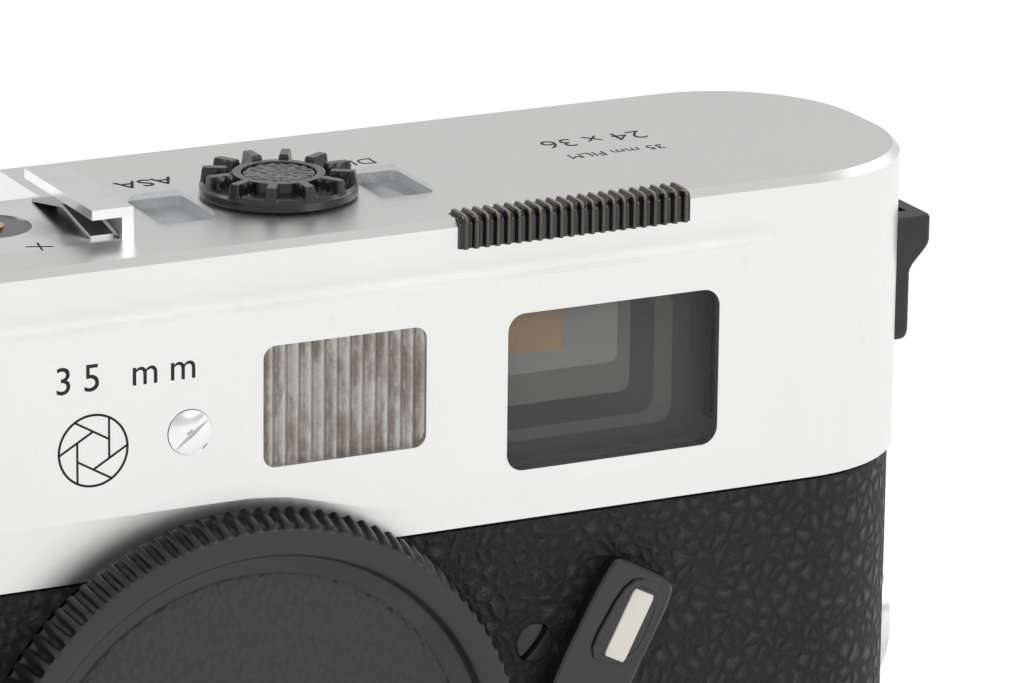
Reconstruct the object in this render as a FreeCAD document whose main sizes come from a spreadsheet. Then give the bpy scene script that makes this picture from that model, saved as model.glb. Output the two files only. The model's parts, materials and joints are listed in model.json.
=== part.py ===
import FreeCAD, Part
import math
import os
import re
import Sketcher
from FreeCAD import Placement, Rotation, Vector

# A rangefinder camera, in millimetres. +X runs along the body towards the viewfinder end, -Y faces the
# subject, +Z is up. The origin is the mouth of the tripod socket, straight under the lens axis.

# name, value, meaning
SIZES = [
    ("body_left", 78.9, "lens axis to the wind lever end"),
    ("body_right", 74.0, "lens axis to the viewfinder end"),
    ("body_depth", 33.5, "front to back of the top cover"),
    ("body_height", 84.0, "base to the high deck"),
    ("corner_radius", 14.5, "plan corners"),
    ("edge_bevel", 0.7, "bevel round the top edge"),
    ("deck_drop", 4.4, "low deck below the high deck"),
    ("deck_step", -29.5, "X of the step between the decks"),
    ("rear_step_x", -9.5, "X where the low strip behind the shoe ends"),
    ("rear_step_y", 5.9, "Y where the low strip behind the shoe starts"),
    ("cover_bottom", 54.6, "lower edge of the top cover"),
    ("cover_wall", 1.0, "sheet of the top cover"),
    ("panel_proud", 1.95, "raised front panel above the cover face"),
    ("panel_left", -46.0, "left end of the raised panel"),
    ("panel_right", 54.9, "right end of the raised panel"),
    ("panel_top", 78.4, "upper edge of the raised panel"),
    ("panel_bottom", 58.2, "lower edge of the raised panel on the right"),
    ("panel_rise", 2.8, "how much higher the lower edge is on the left"),
    ("panel_bend", 8.6, "X of the middle of the S in the lower edge"),
    ("base_height", 4.0, "base plate tray"),
    ("base_sheet", 1.2, "thickness of the base plate"),
    ("seam", 0.3, "gap between the base plate or door and the body"),
    ("skin", 0.8, "leather thickness"),
    ("skin_inset", 0.4, "leather surface below the metal surface"),
    ("shell_wall", 1.6, "body shell wall"),
    ("lens_height", 32.6, "lens axis above the base"),
    ("flange_stand", 1.0, "mount face in front of the cover face"),
    ("register", 27.8, "mount face to film plane"),
    ("flange_radius", 26.0, "outside of the mount ring"),
    ("throat_radius", 21.0, "bore of the mount ring"),
    ("mount_screw_ring", 23.5, "radius of the circle of mount screws"),
    ("mount_screw_head", 1.6, "head radius of a mount screw"),
    ("cap_radius", 27.4, "body cap at its rear rim"),
    ("cap_front_radius", 26.7, "body cap at its front rim"),
    ("cap_depth", 3.9, "depth of the cap's ribbed skirt"),
    ("cap_gap", 0.45, "cap rim in front of the mount face"),
    ("cap_recess", 2.0, "dish in the cap's face"),
    ("frame_width", 36.0, "picture width"),
    ("frame_height", 24.0, "picture height"),
    ("chamber_half", 31.0, "half width of the light chamber"),
    ("chamber_wall", 1.6, "wall of the light chamber"),
    ("view_x", 37.1, "viewfinder axis"),
    ("view_height", 67.5, "viewfinder axis above the base"),
    ("rangefinder_base", 68.5, "viewfinder axis to rangefinder axis"),
    ("window_width", 21.8, "viewfinder window"),
    ("window_height", 15.0, "viewfinder window"),
    ("window_corner", 1.7, "corner of the viewfinder window"),
    ("glass", 1.2, "window glass thickness"),
    ("glass_inset", 0.5, "window glass below the panel face"),
    ("shoe_x", -17.6, "middle of the accessory shoe"),
    ("shoe_width", 18.6, "between the shoe walls"),
    ("shoe_wall", 1.1, "shoe side wall"),
    ("shoe_slot", 12.8, "between the shoe lips"),
    ("shoe_rise", 2.1, "height under the shoe lips"),
    ("shoe_lip", 0.9, "thickness of the shoe lips"),
    ("shoe_front", -10.5, "front end of the shoe"),
    ("shoe_back", 5.3, "back end of the shoe"),
    ("film_dial_x", 10.7, "film speed dial axis"),
    ("film_dial_y", -2.4, "film speed dial axis"),
    ("film_dial_radius", 7.3, "film speed dial disc"),
    ("ridge_start", 4.4, "inner ends of the dial's grip ridges"),
    ("wind_x", -58.0, "wind shaft axis"),
    ("wind_y", -8.6, "wind shaft axis"),
    ("speed_dial_radius", 10.4, "shutter speed dial"),
    ("wind_reach", 24.0, "wind shaft to the folding tip's pivot"),
    ("counter_x", -38.5, "frame counter axis"),
    ("counter_y", -6.0, "frame counter axis"),
    ("spool_x", -55.0, "take-up spool axis"),
    ("spool_y", 2.2, "take-up spool axis"),
    ("spool_radius", 8.5, "take-up spool flange"),
    ("sprocket_x", -38.2, "sprocket roller axis"),
    ("sprocket_y", 3.6, "sprocket roller axis"),
    ("sprocket_radius", 5.4, "sprocket roller"),
    ("cassette_x", 48.0, "film cassette axis"),
    ("lug_width", 16.0, "strap lug front to back"),
    ("lug_reach", 2.7, "strap lug beyond the end"),
    ("lug_top", 76.0, "upper edge of the upper lug"),
    ("lug_height", 12.3, "height of a lug"),
    ("cell_radius", 7.8, "button cell"),
    ("cell_height", 6.0, "button cell"),
    ("cell_z", 35.0, "battery cover axis above the base"),
    ("cell_cover_radius", 8.0, "battery cover"),
    ("lever_gap", 6.6, "frame selector lever pivot outside the mount ring"),
    ("release_gap", 6.16, "lens release button centre outside the mount ring"),
    ("release_radius", 3.5, "lens release button"),
    ("front_screw_gap", 5.88, "front screw centre outside the mount ring"),
    ("front_screw_radius", 1.9, "screw in the leather beside the mount"),
    ("panel_screw_x", -5.4, "screw in the raised panel"),
    ("panel_screw_z", 68.0, "screw in the raised panel"),
    ("panel_screw_radius", 2.1, "screw in the raised panel"),
    ("light_left", 22.05, "ribbed window in the top front edge"),
    ("light_right", 45.65, "ribbed window in the top front edge"),
    ("light_rib_pitch", 1.07, "ribs of that window"),
    ("frame_window_x", 9.9, "middle of the ribbed window in the panel"),
    ("frame_window_half", 8.1, "half its width"),
    ("frame_window_low", 63.6, "its lower edge"),
    ("frame_window_high", 75.0, "its upper edge"),
    ("frame_rib_pitch", 1.27, "its ribs"),
    ("chamber_low", 7.0, "underside of the light chamber"),
    ("chamber_high", 53.0, "top of the light chamber"),
    ("gear_height", 56.0, "underside of the wind gears"),
    ("gear_face", 1.6, "thickness of the wind gears"),
    ("wind_gear_radius", 6.3, "rolling circle of the wind gear"),
    ("spool_gear_radius", 4.72, "rolling circle of the spool gear"),
    ("cam_x", 16.0, "post of the rangefinder cam arm"),
    ("cam_y", -6.0, "post of the rangefinder cam arm"),
    ("meter_x", 19.0, "pivot of the meter arm"),
    ("meter_z", 12.4, "pivot of the meter arm"),
    ("meter_reach", 25.0, "pivot of the meter arm to its cell"),
    ("rewind_x", -57.0, "rewind release lever pivot"),
    ("rewind_z", 62.5, "rewind release lever pivot"),
    ("sync_near", -14.0, "flash socket nearer the viewfinder"),
    ("sync_far", -24.0, "flash socket nearer the wind end"),
    ("sync_z", 66.0, "flash sockets above the base"),
    ("lock_x", -50.0, "lock key axis"),
    ("key_radius", 8.2, "lock key"),
    ("knob_radius", 10.0, "rewind knob"),
    ("well_gap", 0.4, "round the knob and key in their wells"),
    ("mask_pivot_x", 8.3, "frame mask pivot left of the viewfinder axis"),
    ("mask_pivot_z", 5.4, "frame mask pivot below the viewfinder axis"),
    ("mask_pin", 0.5, "frame mask pin radius"),
    ("crank_reach", 7.6, "rewind knob axis to the crank's pin"),
    ("crank_pin", 0.5, "crank pin radius"),
    ("crank_pin_z", 1.2, "crank pin above the base"),
    ("lever_z", 32.0, "frame selector lever pivot"),
    ("lever_length", 17.0, "pivot to the middle of the lever's tip"),
    ("timer_x", -36.4, "self-timer lever pivot"),
    ("timer_z", 30.5, "self-timer lever pivot"),
    ("running", 0.05, "radial clearance of a running fit"),
    ("air", 0.3, "gap between pieces that move past each other"),
    ("door_half", 36.0, "half width of the back door"),
    ("door_top", 51.6, "upper edge of the back door"),
    ("door_sheet", 1.5, "back door sheet"),
    ("hinge_out", 0.45, "hinge pin behind the cover face"),
    ("hinge_z", 53.0, "hinge pin height"),
    ("hinge_pin_radius", 0.6, "hinge pin"),
    ("socket_radius", 3.175, "tripod bush bore, quarter inch thread"),
]
VALUE = {name: value for name, value, meaning in SIZES}

doc = FreeCAD.newDocument("rangefinder_camera")
sheet = doc.addObject("Spreadsheet::Sheet", "Sizes")
for row, (name, value, meaning) in enumerate(SIZES, start=1):
    sheet.set(f"A{row}", name)
    sheet.set(f"B{row}", str(value))
    sheet.setAlias(f"B{row}", name)
    sheet.set(f"C{row}", meaning)
doc.recompute()

# Places that several pieces share, as formulas over the sheet.
FRONT = "(-body_depth / 2)"
BACK = "(body_depth / 2)"
LEFT = "(-body_left)"
RIGHT = "body_right"
HIGH = "body_height"
LOW = "(body_height - deck_drop)"
PANEL = f"({FRONT} - panel_proud)"
SKIN_IN = "(skin_inset + skin)"
SHELL_IN = "(skin_inset + skin + shell_wall)"
FLANGE = f"({FRONT} - flange_stand)"
FILM = f"({FLANGE} + register)"
SHELL_FRONT = f"({FRONT} + {SKIN_IN})"
SHELL_FRONT_IN = f"({FRONT} + {SHELL_IN})"
SHELL_BACK = f"({BACK} - {SKIN_IN})"
SHELL_BACK_IN = f"({BACK} - {SHELL_IN})"
RANGE_X = "(view_x - rangefinder_base)"
CAP_REAR = f"({FLANGE} - cap_gap)"
CAP_FRONT = f"({CAP_REAR} - cap_depth)"
HINGE_Y = f"({BACK} + hinge_out)"
DIAL_BASE = f"({LOW} + air)"
LUG_BOTTOM = "(lug_top - lug_height)"
BOTTOM = "(base_height + seam)"
CHAMBER_IN = ("chamber_low + chamber_wall", "chamber_high - chamber_wall")
ROOF = "(chamber_high - chamber_wall)"
GEARS = ("gear_height", "gear_height + gear_face")

# Axes of the pieces that turn or screw, as the two coordinates across them.
LENS = ("0", "lens_height")
LEVER_AT = ("(flange_radius + lever_gap)", "lever_z")
RELEASE_AT = (
    "(-0.8023 * (flange_radius + release_gap))",
    "(lens_height - 0.597 * (flange_radius + release_gap))",
)
FRONT_SCREW = (
    "(0.9536 * (flange_radius + front_screw_gap))",
    "(lens_height + 0.3011 * (flange_radius + front_screw_gap))",
)
PANEL_SCREW = ("panel_screw_x", "panel_screw_z")
TIMER_AT = ("timer_x", "timer_z")
REWIND_PIVOT = ("rewind_x", "rewind_z")
CAM_PIVOT = ("cam_x", "cam_y")
METER_PIVOT = ("meter_x", "meter_z")
WIND_AT = ("wind_x", "wind_y")
SPOOL_AT = ("spool_x", "spool_y")
SPROCKET_AT = ("sprocket_x", "sprocket_y")
KNOB_AT = ("cassette_x", "0")
KEY_AT = ("lock_x", "0")
CELL_AT = ("0", "cell_z")
SYNC_X = ("sync_near", "sync_far")
SHOE_SPAN = ("shoe_x - shoe_width / 2 - shoe_wall", "shoe_x + shoe_width / 2 + shoe_wall")
MASK_PIVOT = ("(view_x - mask_pivot_x)", "(view_height - mask_pivot_z)")
WIND_REST = 42

parts = []


def formula(text):
    """Point every sheet name in a formula at the sheet."""
    def point(word):
        return "Sizes." + word.group() if word.group() in VALUE else word.group()

    return re.sub(r"[a-z_]+", point, str(text))


def number(text):
    """A formula's value, as a plain number."""
    names = re.findall(r"[a-z_]+", str(text))
    for name in sorted(set(names), key=len, reverse=True):
        text = re.sub(rf"\b{name}\b", repr(sheet.get(name)), text)
    doc_cell.set("Z1", "=" + str(text))
    doc_cell.recompute()
    return float(doc_cell.get("Z1"))


doc_cell = doc.addObject("Spreadsheet::Sheet", "Scratch")


def link(item, prop, text):
    item.setExpression(prop, formula(text))


def part(label, item):
    """Name a finished sub-part; the name is its file's name."""
    item.Label = label
    parts.append(item)
    return item


def block(x, y, z):
    """A box between low and high formulas on each axis."""
    item = doc.addObject("Part::Box", "block")
    for prop, (low, high), axis in zip(("Length", "Width", "Height"), (x, y, z), "xyz"):
        link(item, prop, f"({high}) - ({low})")
        link(item, f"Placement.Base.{axis}", low)
    return item


AIM = {
    "x": Rotation(Vector(0, 1, 0), 90),
    "y": Rotation(Vector(1, 0, 0), -90),
    "z": Rotation(),
}


def rod(axis, at, radius, span):
    """A cylinder along an axis; at holds its place on the other two axes."""
    item = doc.addObject("Part::Cylinder", "rod")
    link(item, "Radius", radius)
    link(item, "Height", f"({span[1]}) - ({span[0]})")
    item.Placement = Placement(Vector(), AIM[axis])
    others = [name for name in "xyz" if name != axis]
    link(item, f"Placement.Base.{axis}", span[0])
    link(item, f"Placement.Base.{others[0]}", at[0])
    link(item, f"Placement.Base.{others[1]}", at[1])
    return item


def fuse(*items):
    item = doc.addObject("Part::MultiFuse", "fuse")
    item.Shapes = list(items)
    item.Refine = True
    return item


def cut(base, *tools):
    item = doc.addObject("Part::Cut", "cut")
    item.Base = base
    item.Tool = tools[0] if len(tools) == 1 else fuse(*tools)
    item.Refine = True
    return item


def common(first, second):
    item = doc.addObject("Part::Common", "common")
    item.Base = first
    item.Tool = second
    return item


def tube(axis, at, outer, inner, span):
    return cut(rod(axis, at, outer, span), rod(axis, at, inner, span))


PLANE = {"x": "YZ_Plane", "y": "XZ_Plane", "z": "XY_Plane"}


def sketch_body(axis, level, shift=("0", "0")):
    """A body with one sketch across an axis, at a level along it and shifted in its own plane."""
    body = doc.addObject("PartDesign::Body", "body")
    sketch = body.newObject("Sketcher::SketchObject", "outline")
    plane = [item for item in body.Origin.OriginFeatures if item.Role == PLANE[axis]][0]
    sketch.AttachmentSupport = [(plane, "")]
    sketch.MapMode = "FlatFace"
    # The normal of the XZ plane points to -Y.
    normal = f"-({level})" if axis == "y" else level
    link(sketch, "AttachmentOffset.Base.x", shift[0])
    link(sketch, "AttachmentOffset.Base.y", shift[1])
    link(sketch, "AttachmentOffset.Base.z", normal)
    return body, sketch


def hold(sketch, kind, *where, value):
    """A sketch dimension bound to a formula; a zero is a point on the axis."""
    if str(value) == "0":
        line = -2 if kind == "DistanceX" else -1
        sketch.addConstraint(Sketcher.Constraint("PointOnObject", *where[2:], line))
        return
    place = sketch.addConstraint(Sketcher.Constraint(kind, *where, number(value)))
    sketch.setExpression(f"Constraints[{place}]", formula(value))


def polygon(sketch, points):
    """A closed outline of straight sides through bound points."""
    corners = [Vector(number(x), number(y), 0) for x, y in points]
    for first, second in zip(corners, corners[1:] + corners[:1]):
        sketch.addGeometry(Part.LineSegment(first, second))
    count = len(corners)
    for index, (x, y) in enumerate(points):
        sketch.addConstraint(Sketcher.Constraint("Coincident", index, 2, (index + 1) % count, 1))
        hold(sketch, "DistanceX", -1, 1, index, 1, value=x)
        hold(sketch, "DistanceY", -1, 1, index, 1, value=y)


def rounded(sketch, u, v, radius):
    """A rectangle with four equal corner arcs."""
    left, right, low, top, r = (number(text) for text in (*u, *v, radius))
    sides = [
        (Vector(left + r, low, 0), Vector(right - r, low, 0)),
        (Vector(right, low + r, 0), Vector(right, top - r, 0)),
        (Vector(right - r, top, 0), Vector(left + r, top, 0)),
        (Vector(left, top - r, 0), Vector(left, low + r, 0)),
    ]
    centres = [(right - r, low + r), (right - r, top - r), (left + r, top - r), (left + r, low + r)]
    for index, (side, centre) in enumerate(zip(sides, centres)):
        sketch.addGeometry(Part.LineSegment(*side))
        start = (index - 1) * math.pi / 2
        circle = Part.Circle(Vector(*centre, 0), Vector(0, 0, 1), r)
        sketch.addGeometry(Part.ArcOfCircle(circle, start, start + math.pi / 2))
    for index in range(4):
        line, arc, after = 2 * index, 2 * index + 1, (2 * index + 2) % 8
        sketch.addConstraint(Sketcher.Constraint("Tangent", line, 2, arc, 1))
        sketch.addConstraint(Sketcher.Constraint("Tangent", arc, 2, after, 1))
        sketch.addConstraint(Sketcher.Constraint("Vertical" if index % 2 else "Horizontal", line))
    for arc in (3, 5, 7):
        sketch.addConstraint(Sketcher.Constraint("Equal", 1, arc))
    hold(sketch, "Radius", 1, value=radius)
    hold(sketch, "DistanceY", -1, 1, 0, 1, value=v[0])
    hold(sketch, "DistanceX", -1, 1, 2, 1, value=u[1])
    hold(sketch, "DistanceY", -1, 1, 4, 1, value=v[1])
    hold(sketch, "DistanceX", -1, 1, 6, 1, value=u[0])


def pad(axis, span, draw):
    """A body padded along an axis from a sketch that draw fills in."""
    body, sketch = sketch_body(axis, span[1] if axis == "y" else span[0])
    draw(sketch)
    feature = body.newObject("PartDesign::Pad", "pad")
    feature.Profile = sketch
    link(feature, "Length", f"({span[1]}) - ({span[0]})")
    return body


def slab(axis, u, v, radius, span):
    return pad(axis, span, lambda sketch: rounded(sketch, u, v, radius))


def plate(axis, points, span):
    return pad(axis, span, lambda sketch: polygon(sketch, points))


def turned(axis, at, points):
    """A body of revolution; points are (along the axis, radius) pairs."""
    if axis == "z":
        body, sketch = sketch_body("y", at[1], (at[0], "0"))
        polygon(sketch, [(radius, along) for along, radius in points])
    elif axis == "y":
        body, sketch = sketch_body("x", at[0], ("0", at[1]))
        polygon(sketch, points)
    else:
        body, sketch = sketch_body("y", at[0], ("0", at[1]))
        polygon(sketch, points)
    feature = body.newObject("PartDesign::Revolution", "turn")
    feature.Profile = sketch
    feature.ReferenceAxis = (sketch, ["V_Axis" if axis == "z" else "H_Axis"])
    feature.Angle = 360
    return body


def chamfered(item, test, size):
    """Chamfer the edges that pass a test."""
    doc.recompute()
    result = doc.addObject("Part::Chamfer", "bevel")
    result.Base = item
    amount = number(size)
    edges = [index for index, edge in enumerate(item.Shape.Edges, start=1) if test(edge)]
    result.Edges = [(index, amount, amount) for index in edges]
    return result


def at_height(level):
    """A test for edges that lie whole at one height."""
    height = number(level)
    return lambda edge: abs(edge.BoundBox.ZMin - height) < 1e-4 and abs(edge.BoundBox.ZMax - height) < 1e-4


def plan(inset, span):
    """The body's rounded plan, inset by an amount, between two heights."""
    return slab(
        "z",
        (f"{LEFT} + ({inset})", f"{RIGHT} - ({inset})"),
        (f"{FRONT} + ({inset})", f"{BACK} - ({inset})"),
        f"corner_radius - ({inset})",
        span,
    )


VIEW_SPAN = ("view_height - window_height / 2", "view_height + window_height / 2")


def window_box(x, half, y, z=VIEW_SPAN, corner="window_corner"):
    """A rounded rectangular block that faces forwards."""
    return slab("y", (f"{x} - ({half})", f"{x} + ({half})"), z, corner, y)


# Top cover -------------------------------------------------------------------------------------



def high_region(inset, z):
    """The plan area under the high deck: right of the step, less the strip behind the shoe."""
    whole = block((f"deck_step + {inset}", f"{RIGHT} + 1"), (f"{FRONT} - 1", f"{BACK} + 1"), z)
    strip = block(("deck_step - 1", f"rear_step_x + {inset}"), (f"rear_step_y - {inset}", f"{BACK} + 2"), z)
    return cut(whole, strip)


def panel_outline(sketch):
    """The raised panel: level lower edges joined by an S of two short slopes and a long one."""
    left_low = "panel_bottom + panel_rise"
    polygon(sketch, [
        ("panel_left", left_low),
        ("panel_bend - 8", left_low),
        ("panel_bend - 4.5", f"{left_low} - 0.35"),
        ("panel_bend - 2", f"{left_low} - 0.95"),
        ("panel_bend + 2", "panel_bottom + 0.75"),
        ("panel_bend + 4", "panel_bottom + 0.2"),
        ("panel_bend + 6", "panel_bottom"),
        ("panel_right", "panel_bottom"),
        ("panel_right", "panel_top"),
        ("panel_left", "panel_top"),
    ])


def cover_windows():
    """The openings of the raised panel, as tools."""
    span = (f"{PANEL} - 1", f"{FRONT} + 2")
    yield window_box("view_x", "window_width / 2", span)
    yield window_box("frame_window_x", "frame_window_half", span, ("frame_window_low", "frame_window_high"), "1.2")
    yield window_box(RANGE_X, "5", span, ("view_height - 4.5", "view_height + 4.5"), "1.2")


def top_cover():
    low = chamfered(plan("0", ("cover_bottom", LOW)), at_height(LOW), "edge_bevel")
    high = chamfered(plan("0", ("cover_bottom", HIGH)), at_height(HIGH), "edge_bevel")
    high = common(high, high_region("0", ("cover_bottom", HIGH)))
    panel = pad("y", (PANEL, f"{FRONT} + 0.5"), panel_outline)
    outside = fuse(low, high, panel)
    hollow = plan("cover_wall", ("cover_bottom - 1", f"{LOW} - cover_wall"))
    attic = common(
        plan("cover_wall", (f"{LOW} - cover_wall - 1", f"{HIGH} - cover_wall")),
        high_region("cover_wall", (f"{LOW} - cover_wall - 1", f"{HIGH} - cover_wall")),
    )
    panel_room = block(
        ("panel_left + cover_wall", "panel_right - cover_wall"),
        (f"{PANEL} + cover_wall", f"{FRONT} + 1.5"),
        ("panel_bottom + panel_rise + cover_wall", "panel_top - cover_wall"),
    )
    deck_holes = [
        block(SHOE_SPAN, ("shoe_front", "shoe_back"), (f"{HIGH} - 2", f"{HIGH} + 1")),
        rod("z", ("film_dial_x", "film_dial_y"), "2.5", (f"{HIGH} - 2", f"{HIGH} + 1")),
        rod("z", WIND_AT, "3.3", (f"{LOW} - 2", f"{LOW} + 1")),
        rod("z", ("counter_x", "counter_y"), "4.2", (f"{LOW} - 2", f"{LOW} + 1")),
        light_window_tool(),
        *[scale_window_tool(side) for side in (-1, 1)],
    ]
    back_holes = [
        rod("y", ("view_x", "view_height"), "6", (f"{BACK} - 2", f"{BACK} + 1")),
        *[rod("y", (x, "sync_z"), "2.6", (f"{BACK} - 2", f"{BACK} + 1")) for x in SYNC_X],
    ]
    front_holes = [
        rod("y", ("-5.4", "68"), "2.15", (f"{PANEL} - 1", f"{FRONT} + 2")),
        rod("y", LENS, "flange_radius + 0.1", (f"{PANEL} - 1", f"{FRONT} + 2")),
        rod("y", REWIND_PIVOT, "1.5 + running", (f"{FRONT} - 1", f"{FRONT} + 2")),
    ]
    holes = [*cover_windows(), *deck_holes, *back_holes, *front_holes]
    part("top_cover", cut(outside, hollow, attic, panel_room, *holes))


def scale_window_outline(side, grow="0"):
    """A curved-side window beside the film speed dial, as a low and high X."""
    if side < 0:
        return (f"-3.0 - {grow}", f"2.5 + {grow}")
    return (f"18.9 - {grow}", f"24.2 + {grow}")


def scale_window_tool(side):
    return slab("z", scale_window_outline(side), ("-7.4", "1.2"), "0.8", (f"{HIGH} - 2", f"{HIGH} + 1"))


def light_window_tool():
    depth = (f"{FRONT} - 1", f"{FRONT} + 2.3")
    return block(("light_left - running", "light_right + running"), depth, (f"{HIGH} - 2.8", f"{HIGH} + 1"))


def light_window():
    """Ribbed black window let into the top front edge."""
    back = f"{FRONT} + 2.25"
    low = f"{HIGH} - 2.75"
    base = block(("light_left", "light_right"), (f"{FRONT} - 0.35", back), (low, f"{HIGH} + 0.2"))
    ribs = []
    for index in range(int(number("(light_right - light_left) / light_rib_pitch"))):
        start = f"light_left + 0.25 + {index} * light_rib_pitch"
        ribs.append(block((start, f"{start} + 0.6"), (f"{FRONT} - 0.6", back), (low, f"{HIGH} + 0.4")))
    part("meter_light_window", fuse(base, *ribs))


def panel_windows():
    glass = (f"{PANEL} + glass_inset", f"{PANEL} + glass_inset + glass")
    part("viewfinder_window", window_box("view_x", "window_width / 2", glass))
    part("rangefinder_window", window_box(RANGE_X, "5", glass, ("view_height - 4.5", "view_height + 4.5"), "1.2"))
    z = ("frame_window_low", "frame_window_high")
    base = window_box("frame_window_x", "frame_window_half", glass, z, "1.2")
    ribs = []
    for index in range(int(number("2 * frame_window_half / frame_rib_pitch"))):
        at = (f"frame_window_x - frame_window_half + 1 + {index} * frame_rib_pitch", glass[0])
        ribs.append(rod("z", at, "0.4", ("frame_window_low + 0.6", "frame_window_high - 0.6")))
    part("frame_light_window", fuse(base, *ribs))


def slotted_screw(x, z, radius, head, length):
    """A slotted screw that faces forwards, its slot at 45 degrees."""
    face = f"{head} - 0.1"
    neck = f"{head} + 0.9"
    thread = rod("y", (x, z), f"{radius} / 2", (neck, f"{head} + {length}"))
    body = fuse(rod("y", (x, z), radius, (face, neck)), thread)
    turn = Rotation(Vector(0, 1, 0), 45)
    corner = turn.multVec(Vector(-4, 0, -0.3))
    slot = doc.addObject("Part::Box", "slot")
    slot.Length = 8
    slot.Width = 0.6
    slot.Height = 0.6
    slot.Placement = Placement(corner, turn)
    link(slot, "Placement.Base.x", f"{x} + {corner.x:.6f}")
    link(slot, "Placement.Base.y", f"{face} - 0.1")
    link(slot, "Placement.Base.z", f"{z} + {corner.z:.6f}")
    return cut(body, slot)


# Viewfinder and rangefinder --------------------------------------------------------------------

def viewed(half_width, half_height, corner, y):
    """A rounded rectangle round the viewfinder axis."""
    x = (f"view_x - {half_width}", f"view_x + {half_width}")
    return slab("y", x, (f"view_height - {half_height}", f"view_height + {half_height}"), corner, y)


def viewfinder():
    front = f"{FRONT} + 1.6"
    back = f"{BACK} - cover_wall - 0.3"
    case = viewed("12", "8.5", "1", (front, back))
    room = viewed("11", "7.5", "1", (f"{front} - 1", f"{back} + 1"))
    side_hole = rod("x", (f"{FRONT} + 7.7", "view_height"), "3.6", ("view_x - 14", "view_x - 9"))
    mask_y = (f"{FRONT} + 16", f"{FRONT} + 16.6")
    pin = rod("y", MASK_PIVOT, "mask_pin", (f"{mask_y[0]} - 0.4", f"{mask_y[1]} + 1.3"))
    x = (f"{MASK_PIVOT[0]} - 0.8", f"{MASK_PIVOT[0]} + 0.8")
    foot = block(x, (f"{mask_y[1]} + 0.3", f"{mask_y[1]} + 1.3"), ("view_height - 8", f"{MASK_PIVOT[1]} + 0.8"))
    part("viewfinder_housing", fuse(cut(case, room, side_hole), foot, pin))
    mask = viewed("9.5", "6.6", "0.8", mask_y)
    through = (f"{mask_y[0]} - 1", f"{mask_y[1]} + 1")
    bore = rod("y", MASK_PIVOT, "mask_pin + running", through)
    part("frame_mask", cut(mask, viewed("6.5", "4.4", "0.5", through), bore))
    depth = (f"{FRONT} + 2.2", f"{FRONT} + 14.2")
    splitter = block(("view_x - 6", "view_x + 6"), depth, ("view_height - 6", "view_height + 6"))
    prism = plate("z", [
        (f"{RANGE_X} - 4", f"{FRONT} + 3"),
        (f"{RANGE_X} + 4", f"{FRONT} + 3"),
        (f"{RANGE_X} + 4", f"{FRONT} + 11"),
    ], ("view_height - 4", "view_height + 4"))
    part("rangefinder_prisms", fuse(splitter, prism))
    ends = (f"{RANGE_X} + 5", "view_x - 11.2")
    part("rangefinder_tube", tube("x", (f"{FRONT} + 7.7", "view_height"), "3.5", "2.8", ends))
    eyepiece = tube("y", ("view_x", "view_height"), "6", "4", (f"{BACK} - cover_wall", f"{BACK} + 0.1"))
    flange = tube("y", ("view_x", "view_height"), "7.4", "4", (BACK, f"{BACK} + 1.6"))
    part("eyepiece_ring", fuse(eyepiece, flange))
    part("eyepiece_lens", rod("y", ("view_x", "view_height"), "4", (f"{BACK} - 0.8", f"{BACK} + 0.7")))


# Top deck fittings -----------------------------------------------------------------------------

def accessory_shoe():
    y = ("shoe_front", "shoe_back")
    through = (f"{y[0]} - 1", f"{y[1]} + 1")
    top = f"{HIGH} + shoe_rise + shoe_lip"
    whole = block(SHOE_SPAN, y, (f"{HIGH} - cover_wall", top))
    width = ("shoe_x - shoe_width / 2", "shoe_x + shoe_width / 2")
    channel = block(width, through, (HIGH, f"{HIGH} + shoe_rise"))
    gap = ("shoe_x - shoe_slot / 2", "shoe_x + shoe_slot / 2")
    slot = block(gap, through, (f"{HIGH} + 1", f"{top} + 1"))
    at = ("shoe_x", "-1.5")
    seat = rod("z", at, "4", (f"{HIGH} - 3", f"{HIGH} + 1"))
    part("accessory_shoe", cut(whole, channel, slot, seat))
    part("shoe_insulator", tube("z", at, "4", "1.5", (f"{HIGH} - cover_wall", f"{HIGH} - 0.1")))
    part("shoe_contact", rod("z", at, "1.5", (f"{HIGH} - cover_wall", f"{HIGH} + 0.15")))
    bow = [("-9.2", "0"), ("-2.6", "1.3"), ("4.6", "0"), ("4.6", "0.3"), ("-2.6", "1.6"), ("-9.2", "0.3")]
    bow = [(y_at, f"{HIGH} + {rise}") for y_at, rise in bow]
    strips = [plate("x", bow, x) for x in (("shoe_x - 9", "shoe_x - 6.8"), ("shoe_x + 6.8", "shoe_x + 9"))]
    part("shoe_spring", fuse(*strips))


def film_speed_dial():
    at = ("film_dial_x", "film_dial_y")
    part("film_speed_dial", fuse(turned("z", at, [
        (f"{HIGH} - 2.4", "0"),
        (f"{HIGH} - 2.4", "2.45"),
        (f"{HIGH} + air", "2.45"),
        (f"{HIGH} + air", "film_dial_radius"),
        (f"{HIGH} + 1.1", "film_dial_radius"),
        (f"{HIGH} + 1.4", "film_dial_radius - 0.3"),
        (f"{HIGH} + 1.4", "4.4"),
        (f"{HIGH} + 2.2", "4.2"),
        (f"{HIGH} + 2.2", "3.5"),
        (f"{HIGH} + 1.9", "3.4"),
        (f"{HIGH} + 1.9", "0"),
    ]), *[dial_ridge(index * 30 + 15) for index in range(12)]))
    part("film_speed_scale", tube("z", at, "13", "2.45", (f"{HIGH} - 2.4", f"{HIGH} - 1.6")))
    windows = []
    for side in (-1, 1):
        sheet = (f"{HIGH} - cover_wall", f"{HIGH} + 0.7")
        window = slab("z", scale_window_outline(side), ("-7.4", "1.2"), "0.8", sheet)
        windows.append(chamfered(window, at_height(sheet[1]), "0.4"))
    part("film_speed_windows", fuse(*windows))


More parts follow.
